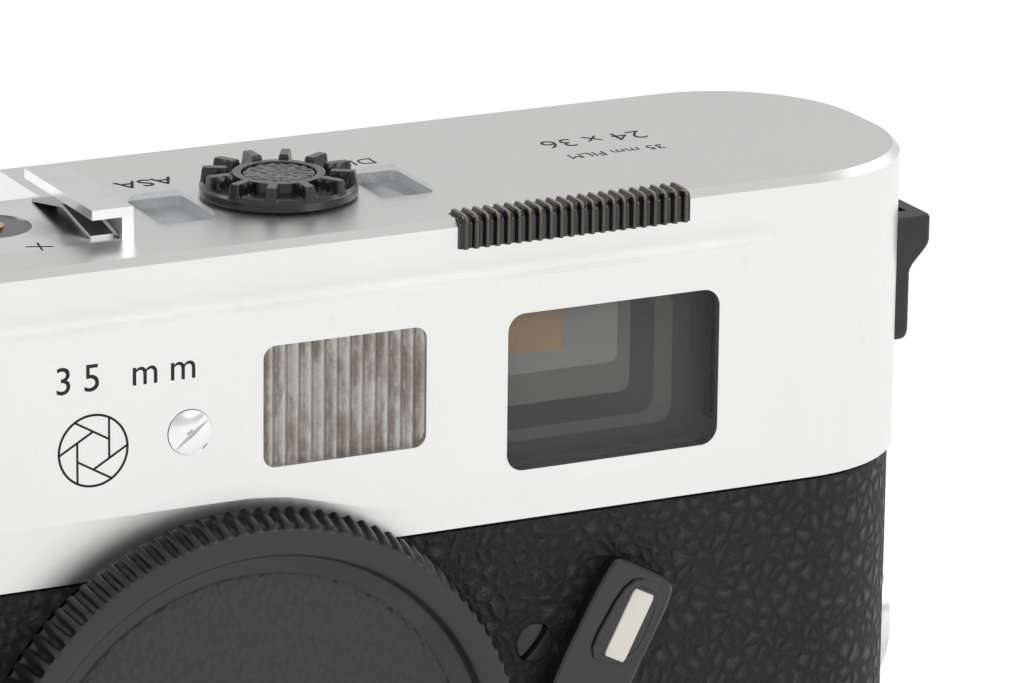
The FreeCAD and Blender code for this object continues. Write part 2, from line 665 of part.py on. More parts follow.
def dial_ridge(angle):
    """One grip ridge of the film speed dial, pointing outwards at an angle."""
    turn = Rotation(Vector(0, 0, 1), angle)
    ridge = doc.addObject("Part::Box", "ridge")
    ridge.Width = 0.95
    ridge.Height = 1.3
    link(ridge, "Length", "film_dial_radius - 0.3 - ridge_start")
    ridge.Placement = Placement(Vector(), turn)
    out = turn.multVec(Vector(1, 0, 0))
    side = turn.multVec(Vector(0, -0.475, 0))
    link(ridge, "Placement.Base.x", f"film_dial_x + ridge_start * {out.x:.6f} + {side.x:.6f}")
    link(ridge, "Placement.Base.y", f"film_dial_y + ridge_start * {out.y:.6f} + {side.y:.6f}")
    link(ridge, "Placement.Base.z", f"{HIGH} + 1.2")
    return ridge


def wind_group():
    part("shutter_speed_dial", turned("z", WIND_AT, [
        (DIAL_BASE, "4.3"),
        (DIAL_BASE, "speed_dial_radius - 0.4"),
        (f"{DIAL_BASE} + 0.4", "speed_dial_radius"),
        (f"{DIAL_BASE} + 2.8", "speed_dial_radius"),
        (f"{DIAL_BASE} + 3.2", "speed_dial_radius - 0.4"),
        (f"{DIAL_BASE} + 3.2", "4.3"),
    ]))
    hub = turned("z", WIND_AT, [
        (f"{LOW} - 24.2", "2.3"),
        (f"{LOW} - 24.2", "3.2"),
        (f"{LOW} + 0.2", "3.2"),
        (f"{LOW} + 0.2", "4.2"),
        (f"{DIAL_BASE} + 3.5", "4.2"),
        (f"{DIAL_BASE} + 3.5", "6.4"),
        (f"{DIAL_BASE} + 5.1", "6.4"),
        (f"{DIAL_BASE} + 5.5", "6"),
        (f"{DIAL_BASE} + 5.5", "2.9"),
        (f"{DIAL_BASE} + 3.5", "2.9"),
        (f"{DIAL_BASE} + 3.5", "2.3"),
    ])
    outline = [("3", "-4.6"), ("wind_reach", "-3.4"), ("wind_reach", "3.4"), ("3", "4.6")]
    end = ("wind_reach", "0")
    arm = fuse(plate("z", outline, ("0", "1.4")), rod("z", end, "3.4", ("0", "1.4")))
    arm = cut(arm, rod("z", end, "1.2 + running", ("-1", "3")), rod("z", ("0", "0"), "5", ("-1", "3")))
    swing(arm, "0")
    cogs = gear(WIND_AT, 16, "wind_gear_radius", "3.2", mesh_angle())
    part("wind_lever", fuse(hub, arm, cogs))
    tip = fuse(
        plate("z", [("0", "-3.6"), ("10", "-2.6"), ("10", "2.6"), ("0", "3.6")], ("1.6", "3.4")),
        rod("z", ("0", "0"), "3.6", ("1.6", "3.4")),
        rod("z", ("10", "0"), "2.6", ("1.6", "3.4")),
        rod("z", ("0", "0"), "1.2", ("0", "2")),
    )
    swing(tip, "wind_reach")
    part("wind_lever_tip", tip)
    part("release_button", turned("z", WIND_AT, [
        (f"{LOW} - 20", "0"),
        (f"{LOW} - 20", "1.7"),
        (f"{DIAL_BASE} + 5.2", "1.7"),
        (f"{DIAL_BASE} + 5.2", "2.6"),
        (f"{DIAL_BASE} + 7.4", "2.6"),
        (f"{DIAL_BASE} + 7.4", "1.4"),
        (f"{DIAL_BASE} + 4.4", "1"),
        (f"{DIAL_BASE} + 4.4", "0"),
    ]))


def swing(item, reach):
    """Set a piece of the wind lever at its rest angle, some way out from the wind shaft."""
    turn = Rotation(Vector(0, 0, 1), WIND_REST)
    out = turn.multVec(Vector(1, 0, 0))
    item.Placement = Placement(Vector(), turn)
    link(item, "Placement.Base.x", f"wind_x + {reach} * {out.x:.6f}")
    link(item, "Placement.Base.y", f"wind_y + {reach} * {out.y:.6f}")
    link(item, "Placement.Base.z", f"{DIAL_BASE} + 3.6")


def mesh_angle():
    """Direction from the wind shaft to the spool, where a wind tooth stands in a spool gap."""
    return math.degrees(math.atan2(number("spool_y - wind_y"), number("spool_x - wind_x")))


def gear(at, teeth, radius, bore, phase):
    """A spur gear with straight-sided teeth, narrow enough to run without touching."""
    step = 360 / teeth
    cogs = []
    for index in range(teeth):
        cog = tooth(number(radius), step)
        cog.Placement = Placement(Vector(), Rotation(Vector(0, 0, 1), phase + index * step))
        link(cog, "Placement.Base.x", at[0])
        link(cog, "Placement.Base.y", at[1])
        link(cog, "Placement.Base.z", GEARS[0])
        cogs.append(cog)
    root = rod("z", at, f"{radius} - 0.7", GEARS)
    return cut(fuse(root, *cogs), rod("z", at, bore, (f"{GEARS[0]} - 1", f"{GEARS[1]} + 1")))


def tooth(pitch, step):
    """One tapered tooth along +X, standing on a root circle."""
    half_low = pitch * math.radians(step) * 0.26
    half_top = half_low * 0.45
    corners = [
        Vector(pitch - 1.1, -half_low, 0),
        Vector(pitch + 0.55, -half_top, 0),
        Vector(pitch + 0.55, half_top, 0),
        Vector(pitch - 1.1, half_low, 0),
    ]
    item = doc.addObject("Part::Feature", "tooth")
    item.Shape = Part.Face(Part.makePolygon(corners + corners[:1])).extrude(Vector(0, 0, number("gear_face")))
    return item


def counter():
    at = ("counter_x", "counter_y")
    disc = rod("z", at, "7", (f"{LOW} - 3", f"{LOW} - 2"))
    shaft = rod("z", at, "1", (f"{LOW} - 24", f"{LOW} - 2"))
    part("frame_counter_disc", fuse(disc, shaft))
    part("counter_window", turned("z", at, [
        (f"{LOW} - cover_wall", "0"),
        (f"{LOW} - cover_wall", "4.2"),
        (f"{LOW} + 0.1", "4.2"),
        (f"{LOW} + 0.6", "2.6"),
        (f"{LOW} + 0.75", "0"),
    ]))


# Body ------------------------------------------------------------------------------------------

def door_hole(grow, y):
    return block((f"-door_half - ({grow})", f"door_half + {grow}"), y, ("0", f"door_top + {grow}"))


def body_shell():
    outside = plan(SKIN_IN, (BOTTOM, "cover_bottom + 1"))
    inside = plan(SHELL_IN, ("base_height - 1", "cover_bottom + 2"))
    tools = [
        inside,
        rod("y", LENS, "throat_radius + 1", (f"{FRONT} - 1", f"{FRONT} + 6")),
        door_hole("seam", ("0", f"{BACK} + 1")),
        rod("x", CELL_AT, "cell_cover_radius + running", (f"{RIGHT} - 6", f"{RIGHT} + 1")),
        rod("y", RELEASE_AT, "release_radius + 0.1", (f"{FRONT} - 1", f"{FRONT} + 6")),
        rod("y", LEVER_AT, "1.9 + running", (f"{FRONT} - 1", f"{FRONT} + 3")),
        rod("y", TIMER_AT, "1.9 + running", (f"{FRONT} - 1", f"{FRONT} + 3")),
        rod("y", FRONT_SCREW, "front_screw_radius", (f"{FRONT} - 1", f"{FRONT} + skin_inset + 0.9")),
        rod("y", FRONT_SCREW, "front_screw_radius / 2", (f"{FRONT} - 1", f"{FRONT} + 3")),
    ]
    part("body_shell", cut(outside, *tools))


def leather():
    z = ("base_height + 0.5", "cover_bottom - 0.4")
    outside = plan("skin_inset", z)
    inside = plan(SKIN_IN, (f"{z[0]} - 1", f"{z[1]} + 1"))
    tools = [
        inside,
        rod("y", LENS, "flange_radius + 0.3", (f"{FRONT} - 1", f"{FRONT} + 3")),
        door_hole("seam + 0.5", ("0", f"{BACK} + 1")),
        block(("-32", "32"), (f"{BACK} - 3", f"{BACK} + 1"), ("door_top - 1", "cover_bottom")),
        rod("x", CELL_AT, "cell_cover_radius + 0.4", (f"{RIGHT} - 6", f"{RIGHT} + 1")),
        rod("y", RELEASE_AT, "release_radius + 0.5", (f"{FRONT} - 1", f"{FRONT} + 3")),
        rod("y", LEVER_AT, "2", (f"{FRONT} - 1", f"{FRONT} + 3")),
        rod("y", TIMER_AT, "2", (f"{FRONT} - 1", f"{FRONT} + 3")),
        rod("y", FRONT_SCREW, "front_screw_radius + running", (f"{FRONT} - 1", f"{FRONT} + 3")),
        block(
            (f"{RIGHT} - 5", f"{RIGHT} + 1"),
            ("-lug_width / 2 - seam", "lug_width / 2 + seam"),
            ("base_height", "base_height + 3 + lug_height + seam"),
        ),
    ]
    part("leather_wrap", cut(outside, *tools))


def light_chamber():
    inside = ("-chamber_half + chamber_wall", "chamber_half - chamber_wall")
    depth = (f"{SHELL_FRONT_IN} + chamber_wall", f"{FILM} - chamber_wall")
    outside = block(("-chamber_half", "chamber_half"), (SHELL_FRONT_IN, FILM), ("chamber_low", "chamber_high"))
    width = ("-frame_width / 2", "frame_width / 2")
    height = ("lens_height - frame_height / 2", "lens_height + frame_height / 2")
    front = (f"{SHELL_FRONT_IN} - 1", f"{SHELL_FRONT_IN} + 3")
    tools = [
        block(inside, depth, CHAMBER_IN),
        block(width, (f"{FILM} - 3", f"{FILM} + 1"), height),
        rod("y", LENS, "throat_radius", front),
        rod("y", RELEASE_AT, "release_radius + 0.3", front),
    ]
    part("light_chamber", cut(outside, *tools))
    drum_y = f"{FILM} - chamber_wall - 4"
    ends = ("-chamber_half + 4.4", "chamber_half - 4.4")
    part("shutter_drums", fuse(*[rod("z", (x, drum_y), "2.4", CHAMBER_IN) for x in ends]))
    part("shutter_curtain", block(ends, (f"{drum_y} + 2.4", f"{drum_y} + 2.7"), ("16", "49")))


def mount():
    inner = "throat_radius + 0.98"
    ring = turned("y", LENS, [
        (FLANGE, "throat_radius"),
        (FLANGE, "flange_radius"),
        (SHELL_FRONT, "flange_radius"),
        (SHELL_FRONT, inner),
        (SHELL_FRONT_IN, inner),
        (SHELL_FRONT_IN, "throat_radius"),
    ])
    screws = []
    for index in range(4):
        angle = math.radians(45 + 90 * index)
        x = f"mount_screw_ring * {math.cos(angle):.6f}"
        z = f"lens_height + mount_screw_ring * {math.sin(angle):.6f}"
        screws.append(rod("y", (x, z), "mount_screw_head", (f"{FLANGE} + 0.05", f"{FLANGE} + 1.2")))
        screws.append(rod("y", (x, z), "mount_screw_head / 2", (f"{FLANGE} + 1.2", SHELL_FRONT)))
    part("bright_screws", fuse(*screws, slotted_screw(*PANEL_SCREW, "panel_screw_radius", PANEL, "2.4")))
    part("mount_ring", cut(ring, fuse(*screws)))


def body_cap():
    sink = f"{FLANGE} + 2.4"
    inner = "throat_radius - air"
    part("body_cap", turned("y", LENS, [
        (f"{CAP_FRONT} + cap_recess", "0"),
        (f"{CAP_FRONT} + cap_recess", "cap_front_radius - 3.7"),
        (CAP_FRONT, "cap_front_radius - 2.9"),
        (CAP_FRONT, "cap_front_radius"),
        (CAP_REAR, "cap_radius"),
        (CAP_REAR, "cap_radius - 1.1"),
        (f"{CAP_FRONT} + 1.2", "cap_front_radius - 1.2"),
        (f"{CAP_FRONT} + 1.2", "cap_front_radius - 1.7"),
        (f"{CAP_REAR} - 0.4", "cap_front_radius - 2.3"),
        (f"{CAP_REAR} - 0.4", inner),
        (sink, inner),
        (sink, "throat_radius - 1.5"),
        (f"{CAP_REAR} - 0.4", "throat_radius - 1.5"),
        (f"{CAP_REAR} - 0.4", "0"),
    ]))


def lens_release():
    body = rod("y", RELEASE_AT, "release_radius", (f"{FRONT} - 2.2", f"{FRONT} + 3.5"))
    part("lens_release_button", body)


def cam_arm():
    """Follower that a lens pushes back; its post turns under the chamber roof."""
    z = (f"{ROOF} - 4.4", f"{ROOF} - 2.4")
    outline = [("cam_x", "cam_y - 2.2"), ("cam_x", "cam_y + 1.2"), ("0", "cam_y - 0.4"), ("0", "cam_y - 2.4")]
    arm = fuse(rod("z", CAM_PIVOT, "2.4", z), plate("z", outline, z))
    bore = rod("z", CAM_PIVOT, "1.2 + running", (f"{ROOF} - 6", ROOF))
    roller = rod("z", ("0.4", "cam_y - 2"), "2", (f"{ROOF} - 6.2", z[0]))
    part("rangefinder_cam_arm", fuse(cut(arm, bore), roller))


def meter_arm():
    """Swinging arm that carries the light cell up behind the lens; down in its well at rest."""
    y = (f"{FILM} - 12", f"{FILM} - 11")
    pin = rod("y", METER_PIVOT, "0.9", (f"{SHELL_FRONT_IN} + chamber_wall", f"{FILM} - 9"))
    part("chamber_pins", fuse(pin, rod("z", CAM_PIVOT, "1.2", (f"{ROOF} - 5.6", "chamber_high - chamber_wall"))))
    tip = ("meter_x - meter_reach", "meter_z")
    blade = block((tip[0], "meter_x"), y, ("meter_z - 1", "meter_z + 1"))
    arm = fuse(rod("y", METER_PIVOT, "2.2", y), blade, rod("y", tip, "3", y))
    bore = rod("y", METER_PIVOT, "0.9 + running", (f"{y[0]} - 1", f"{y[1]} + 1"))
    part("meter_arm", fuse(cut(arm, bore), rod("y", tip, "2.6", (f"{y[0]} - 1.2", y[0]))))


def film_transport():
    spool = turned("z", SPOOL_AT, [
        ("9", "0"),
        ("9", "spool_radius"),
        ("10.4", "spool_radius"),
        ("10.4", "5.4"),
        ("48", "5.4"),
        ("48", "spool_radius"),
        ("49.2", "spool_radius"),
        ("49.2", "1.6"),
        ("gear_height + 2.4", "1.6"),
        ("gear_height + 2.4", "0"),
    ])
    cogs = gear(SPOOL_AT, 12, "spool_gear_radius", "1.6", mesh_angle() + 180 + 15)
    part("take_up_spool", fuse(spool, cogs))
    roller = turned("z", SPROCKET_AT, [
        ("12", "0"),
        ("12", "sprocket_radius"),
        ("18", "sprocket_radius"),
        ("18", "4"),
        ("42", "4"),
        ("42", "sprocket_radius"),
        ("49", "sprocket_radius"),
        ("49", "1.6"),
        ("gear_height + 2.4", "1.6"),
        ("gear_height + 2.4", "0"),
    ])
    teeth = [sprocket_tooth(45 * index, level) for level in ("16", "44") for index in range(8)]
    part("sprocket_roller", fuse(roller, *teeth))
    floor = plan(f"{SHELL_IN} + 0.2", ("chamber_high + 0.2", "chamber_high + 1.8"))
    holes = [
        rod("z", SPOOL_AT, "1.6 + running", ("50", "58")),
        rod("z", SPROCKET_AT, "1.6 + running", ("50", "58")),
        rod("z", WIND_AT, "3.2 + running", ("50", "58")),
    ]
    part("deck_plate", cut(floor, *holes))


def sprocket_tooth(angle, level):
    """One pointed tooth that stands out of the sprocket roller."""
    out = Rotation(Vector(0, 0, 1), angle)
    along = out.multVec(Vector(1, 0, 0))
    item = doc.addObject("Part::Cone", "tooth")
    item.Radius1 = 0.8
    item.Radius2 = 0.4
    item.Height = 1.6
    item.Placement = Placement(Vector(), out * AIM["x"])
    link(item, "Placement.Base.x", f"sprocket_x + (sprocket_radius - 0.4) * {along.x:.6f}")
    link(item, "Placement.Base.y", f"sprocket_y + (sprocket_radius - 0.4) * {along.y:.6f}")
    link(item, "Placement.Base.z", level)
    return item


# Levers on the front ---------------------------------------------------------------------------

def lever(name, pivot, length, root, tilt):
    """A flat lever that turns about a boss on the front; drawn upright at its pivot, then tilted."""
    y = ("-1.9", "0")
    tip = "3.6"
    outline = [(f"-{root}", "0"), (root, "0"), (tip, length), (f"-{tip}", length)]
    end = slab("y", (f"-{tip}", tip), (f"{length} - 3", f"{length} + 3.2"), "1.6", y)
    blade = fuse(rod("y", ("0", "0"), root, y), plate("y", outline, y), end)
    pocket = slab("y", ("-1.2", "1.2"), (f"{length} - 8.6", f"{length} - 1.4"), "1.1", ("-3", "-1.3"))
    stub = rod("y", ("0", "0"), "1.9", ("-0.5", "3"))
    body = fuse(cut(blade, pocket), stub)
    put(body, pivot, tilt)
    part(f"{name}_lever", body)
    bar = slab("y", ("-1.15", "1.15"), (f"{length} - 8.5", f"{length} - 1.5"), "1.05", ("-1.8", "-1.3"))
    put(bar, pivot, tilt)
    part(f"{name}_insert", bar)


def put(item, pivot, tilt):
    """Stand a lever off the leather at its pivot, tilted clockwise as seen from the front."""
    item.Placement = Placement(Vector(), Rotation(Vector(0, 1, 0), tilt))
    link(item, "Placement.Base.x", pivot[0])
    link(item, "Placement.Base.y", f"{FRONT} + skin_inset - air - 0.9")
    link(item, "Placement.Base.z", pivot[1])


def rewind_lever():
    y = ("-1.4", "0")
    outline = [("-2.6", "0"), ("2.6", "0"), ("2", "-8.5"), ("-2", "-8.5")]
    blade = fuse(rod("y", ("0", "0"), "3.2", y), plate("y", outline, y), rod("y", ("0", "0"), "1.5", ("-0.5", "2")))
    link(blade, "Placement.Base.x", REWIND_PIVOT[0])
    link(blade, "Placement.Base.y", f"{FRONT} - air")
    link(blade, "Placement.Base.z", REWIND_PIVOT[1])
    part("rewind_release_lever", blade)


# Ends, back and base ---------------------------------------------------------------------------

def strap_lugs():
    """Two U-shaped lugs seated on the curve of the viewfinder end, open up and down for a strap."""
    lugs = []
    wide = ("-lug_width / 2", "lug_width / 2")
    narrow = ("-lug_width / 2 + 2.2", "lug_width / 2 - 2.2")
    for low, inset in ((LUG_BOTTOM, "0"), ("(base_height + 3)", SKIN_IN)):
        height = (low, f"{low} + lug_height")
        through = (f"{low} - 1", f"{low} + lug_height + 1")
        whole = block((f"{RIGHT} - 4", f"{RIGHT} + lug_reach"), wide, height)
        slot = block((f"{RIGHT} - 5", f"{RIGHT} + lug_reach - 1.4"), narrow, through)
        lugs.append(cut(whole, slot, plan(inset, through)))
    part("strap_lugs", fuse(*lugs))


BODY_SPAN = ("base_height - 1", "cover_bottom + 2")


def battery():
    out = f"({RIGHT} - 0.6)"
    cover = turned("x", CELL_AT, [
        (f"{out} - 2", "0"),
        (f"{out} - 2", "cell_cover_radius"),
        (out, "cell_cover_radius"),
        (f"{out} + 0.35", "5"),
        (f"{out} + 0.5", "0"),
    ])
    slot = block((f"{out} - 0.4", f"{out} + 1"), ("-4.5", "4.5"), ("cell_z - 0.6", "cell_z + 0.6"))
    part("battery_cover", cut(cover, slot))
    cell = (f"{out} - 2.5 - cell_height", f"{out} - 2.5")
    part("button_cell", rod("x", CELL_AT, "cell_radius - 0.2", cell))
    outer = rod("x", CELL_AT, "cell_radius + 1", (f"{cell[0]} - 1", f"{RIGHT}"))
    case = common(outer, plan(SHELL_IN, BODY_SPAN))
    part("battery_chamber", cut(case, rod("x", CELL_AT, "cell_radius", (cell[0], f"{RIGHT} + 1"))))


def knuckle(x, z_low, z_high):
    """Part of the door hinge: a barrel round the pin with a leaf below or above it."""
    barrel = rod("x", (HINGE_Y, "hinge_z"), "1.15", x)
    leaf = block(x, (f"{BACK} - skin_inset - 0.05", HINGE_Y), (z_low, z_high))
    return barrel, leaf


def back_door():
    y = (f"{SHELL_BACK} - door_sheet", SHELL_BACK)
    panel = block(("-door_half", "door_half"), y, ("base_height + 0.5", "door_top"))
    barrel, leaf = knuckle(("-11.7", "11.7"), "door_top - 3", "hinge_z")
    foot = block(("-11.7", "11.7"), (SHELL_BACK, HINGE_Y), ("door_top - 3", "door_top - 0.6"))
    bore = rod("x", (HINGE_Y, "hinge_z"), "hinge_pin_radius + running", ("-12", "12"))
    part("back_door", cut(fuse(panel, barrel, leaf, foot), bore))
    depth = (SHELL_BACK, f"{BACK} - skin_inset")
    part("door_leather", block(("-door_half - 0.1", "door_half + 0.1"), depth, ("base_height + 0.5", "door_top - 3")))
    leaves = []
    for x in (("-30", "-12"), ("12", "30")):
        barrel, leaf = knuckle(x, "hinge_z", "cover_bottom - 0.5")
        seat = block(x, (SHELL_BACK, HINGE_Y), ("hinge_z - 0.2", "cover_bottom - 0.5"))
        leaves.append(cut(fuse(barrel, leaf, seat), rod("x", (HINGE_Y, "hinge_z"), "hinge_pin_radius", x)))
    pin = rod("x", (HINGE_Y, "hinge_z"), "hinge_pin_radius", ("-30", "30"))
    part("door_hinge", fuse(*leaves, pin))
    part("pressure_plate", block(("-22", "22"), (f"{FILM} + 0.3", f"{FILM} + 1.3"), ("15", "50")))
    low, high = f"{FILM} + 1.3", f"{SHELL_BACK} - door_sheet - 1"
    crest = f"{low} + 0.3"
    foot = f"{high} - 0.3"
    bow = [("-14", high), ("-13", high), ("-1", crest), ("1", crest), ("13", high), ("14", high)]
    bow += [("13", foot), ("1", low), ("-1", low), ("-13", foot)]
    springs = [plate("z", bow, z) for z in (("22", "26"), ("38", "42"))]
    part("pressure_springs", fuse(*springs))


def base():
    outside = chamfered(plan("0", ("0", "base_height")), at_height("0"), "0.5")
    room = plan("base_sheet + 0.6", ("base_sheet", "base_height + 1"))
    tray = cut(outside, room)
    bosses = [
        rod("z", KNOB_AT, "knob_radius + well_gap + 1", ("0", "base_height")),
        rod("z", KEY_AT, "key_radius + well_gap + 1", ("0", "base_height")),
        rod("z", ("0", "0"), "7", ("0", "base_height")),
    ]
    tools = [
        rod("z", KNOB_AT, "knob_radius + well_gap", ("-1", "base_height - 0.8")),
        rod("z", KNOB_AT, "2 + running", ("-1", "base_height + 1")),
        rod("z", KEY_AT, "key_radius + well_gap", ("-1", "base_height - 1")),
        rod("z", KEY_AT, "2 + running", ("-1", "base_height + 1")),
        rod("z", ("0", "0"), "5", ("-1", "base_height + 1")),
    ]
    part("base_plate", cut(fuse(tray, *bosses), *tools))
    part("tripod_bush", tube("z", ("0", "0"), "5", "socket_radius", ("0", "base_height")))


def crank_ear(side, item):
    """One of the two ears that hold the crank's pin, on the face of the knob."""
    y = (f"{side} * 3.3 - 0.5", f"{side} * 3.3 + 0.5")
    at = ("cassette_x - crank_reach", "crank_pin_z")
    through = (f"{side} * 3.3 - 1", f"{side} * 3.3 + 1")
    return cut(fuse(item, rod("y", at, "1", y)), rod("y", at, "crank_pin + running", through))


def base_controls():
    slot = block(("cassette_x - 12", "cassette_x + 12"), ("-2.7", "2.7"), ("1", "2.4"))
    knob = fuse(
        rod("z", KNOB_AT, "knob_radius", ("1.6", "base_height - 1.1")),
        rod("z", KNOB_AT, "2", ("2", "base_height + 4")),
        rod("z", KNOB_AT, "3.2", ("base_height + seam", "base_height + 5")),
        block(("cassette_x - 0.9", "cassette_x + 0.9"), ("-2.6", "2.6"), ("base_height + 5", "base_height + 9")),
    )
    part("rewind_knob", crank_ear(-1, crank_ear(1, cut(knob, slot))))
    part("rewind_crank", fuse(
        block(("cassette_x - crank_reach - 0.8", "cassette_x + 8"), ("-2.4", "2.4"), ("0.5", "1.9")),
        rod("z", ("cassette_x + 6.6", "0"), "2.6", ("0.2", "1.5")),
        rod("y", ("cassette_x - crank_reach", "crank_pin_z"), "crank_pin", ("-3.7", "3.7")),
    ))
    part("lock_key", fuse(
        rod("z", KEY_AT, "key_radius", ("1.6", "base_height - 1.3")),
        rod("z", KEY_AT, "2", ("2", "base_height + 2")),
        block(("lock_x - 7", "lock_x + 7"), ("-1", "1"), ("0.3", "2")),
        block(("lock_x - 3", "lock_x + 3"), ("-1.5", "1.5"), ("base_height + seam", "base_height + 1.8")),
    ))


def sync_sockets():
    rings = [tube("y", (x, "sync_z"), "2.55", "1.5", (f"{BACK} - 5", f"{BACK} + 0.5")) for x in SYNC_X]
    part("sync_sockets", fuse(*rings))


top_cover()
light_window()
panel_windows()
part("front_screw", slotted_screw(*FRONT_SCREW, "front_screw_radius", f"({FRONT} + skin_inset)", "1.9"))
viewfinder()
accessory_shoe()
film_speed_dial()
wind_group()
counter()
body_shell()
leather()
light_chamber()
mount()
body_cap()
lens_release()
cam_arm()
meter_arm()
film_transport()
lever("frame_selector", LEVER_AT, "lever_length", "4.3", 24)
lever("self_timer", TIMER_AT, "19", "4.6", 0)
rewind_lever()
strap_lugs()
battery()
back_door()
base()
base_controls()
sync_sockets()

doc.recompute()
faults = [item.Name for item in doc.Objects if any(word in item.State for word in ("Invalid", "Error"))]
faults += [item.Label for item in parts if item.Shape.isNull() or not item.Shape.isValid()]
if faults:
    raise RuntimeError(f"these objects failed: {faults}")
os.makedirs("parts", exist_ok=True)
for item in parts:
    item.Shape.exportStep(f"parts/{item.Label}.step")
print(len(parts), "sub-parts written")
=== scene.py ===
# %% [markdown]
# A rangefinder camera. The frame holds every working piece at its real size and place. This script gives each
# of them its finish, and makes again, as smoother surfaces, the pieces that are seen up close.

# %% Load the frame
import json
import math

import bmesh
import bpy
import numpy as np
from mathutils import Matrix, Vector

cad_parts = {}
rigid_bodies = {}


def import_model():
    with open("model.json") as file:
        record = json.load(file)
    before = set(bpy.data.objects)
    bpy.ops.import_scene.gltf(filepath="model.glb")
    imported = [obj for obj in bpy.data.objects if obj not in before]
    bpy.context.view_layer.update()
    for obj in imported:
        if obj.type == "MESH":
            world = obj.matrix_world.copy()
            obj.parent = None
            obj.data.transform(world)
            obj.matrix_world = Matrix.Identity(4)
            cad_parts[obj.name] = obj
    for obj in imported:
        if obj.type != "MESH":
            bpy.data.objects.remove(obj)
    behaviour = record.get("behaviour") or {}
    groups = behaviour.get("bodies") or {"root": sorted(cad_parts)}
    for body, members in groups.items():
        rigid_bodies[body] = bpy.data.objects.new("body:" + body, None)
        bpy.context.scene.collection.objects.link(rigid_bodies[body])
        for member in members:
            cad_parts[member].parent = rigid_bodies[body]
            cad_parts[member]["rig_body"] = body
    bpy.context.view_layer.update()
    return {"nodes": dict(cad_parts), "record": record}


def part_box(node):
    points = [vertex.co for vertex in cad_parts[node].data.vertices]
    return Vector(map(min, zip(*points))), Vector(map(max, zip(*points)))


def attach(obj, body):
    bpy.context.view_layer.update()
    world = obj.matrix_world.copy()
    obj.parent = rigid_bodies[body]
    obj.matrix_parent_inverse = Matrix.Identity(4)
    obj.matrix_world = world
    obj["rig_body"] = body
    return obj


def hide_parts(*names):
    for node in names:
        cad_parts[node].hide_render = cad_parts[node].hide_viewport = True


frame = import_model()
nodes = frame["nodes"]
MM = 0.001
scene = bpy.context.scene

# %% [markdown]
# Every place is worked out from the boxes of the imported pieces, so it follows the model when a size changes.

# %% Places taken from the frame
def middle(node):
    """Centre of a node's box."""
    low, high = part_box(node)
    return (low + high) / 2


cover_low, cover_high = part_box("top_cover")
body_low, body_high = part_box("leather_wrap")
front_face = body_low.y - 0.4 * MM
panel_face = cover_low.y
deck = cover_high.z
cap_low, cap_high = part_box("body_cap")
lens = middle("body_cap")
print(
    "cover face", round(front_face / MM, 2), "panel face", round(panel_face / MM, 2), "deck", round(deck / MM, 2)
)

# %% [markdown]
# Shader maths reads best as ordinary sums. A small class holds one output socket and turns each operator into
# a Math node, so that 1 - mask or noise * 0.2 + 0.3 can be written as it is thought.

# %% Shader values as Python values
class Value:
    """One shader output that takes part in Python arithmetic."""

    def __init__(self, finish, socket):
        self.finish = finish
        self.socket = socket

    def _math(self, operation, first, second=None):
        links = {0: first} if second is None else {0: first, 1: second}
        return self.finish.node("ShaderNodeMath", {"operation": operation}, links)

    def __add__(self, other):
        return self._math("ADD", self, other)

    def __radd__(self, other):
        return self._math("ADD", other, self)

    def __sub__(self, other):
        return self._math("SUBTRACT", self, other)

    def __rsub__(self, other):
        return self._math("SUBTRACT", other, self)

    def __mul__(self, other):
        return self._math("MULTIPLY", self, other)

    def __rmul__(self, other):
        return self._math("MULTIPLY", other, self)

    def __truediv__(self, other):
        return self._math("DIVIDE", self, other)

    def __pow__(self, other):
        return self._math("POWER", self, other)

    def __gt__(self, other):
        return self._math("GREATER_THAN", self, other)

    def low(self, other):
        return self._math("MINIMUM", self, other)

    def high(self, other):
        return self._math("MAXIMUM", self, other)


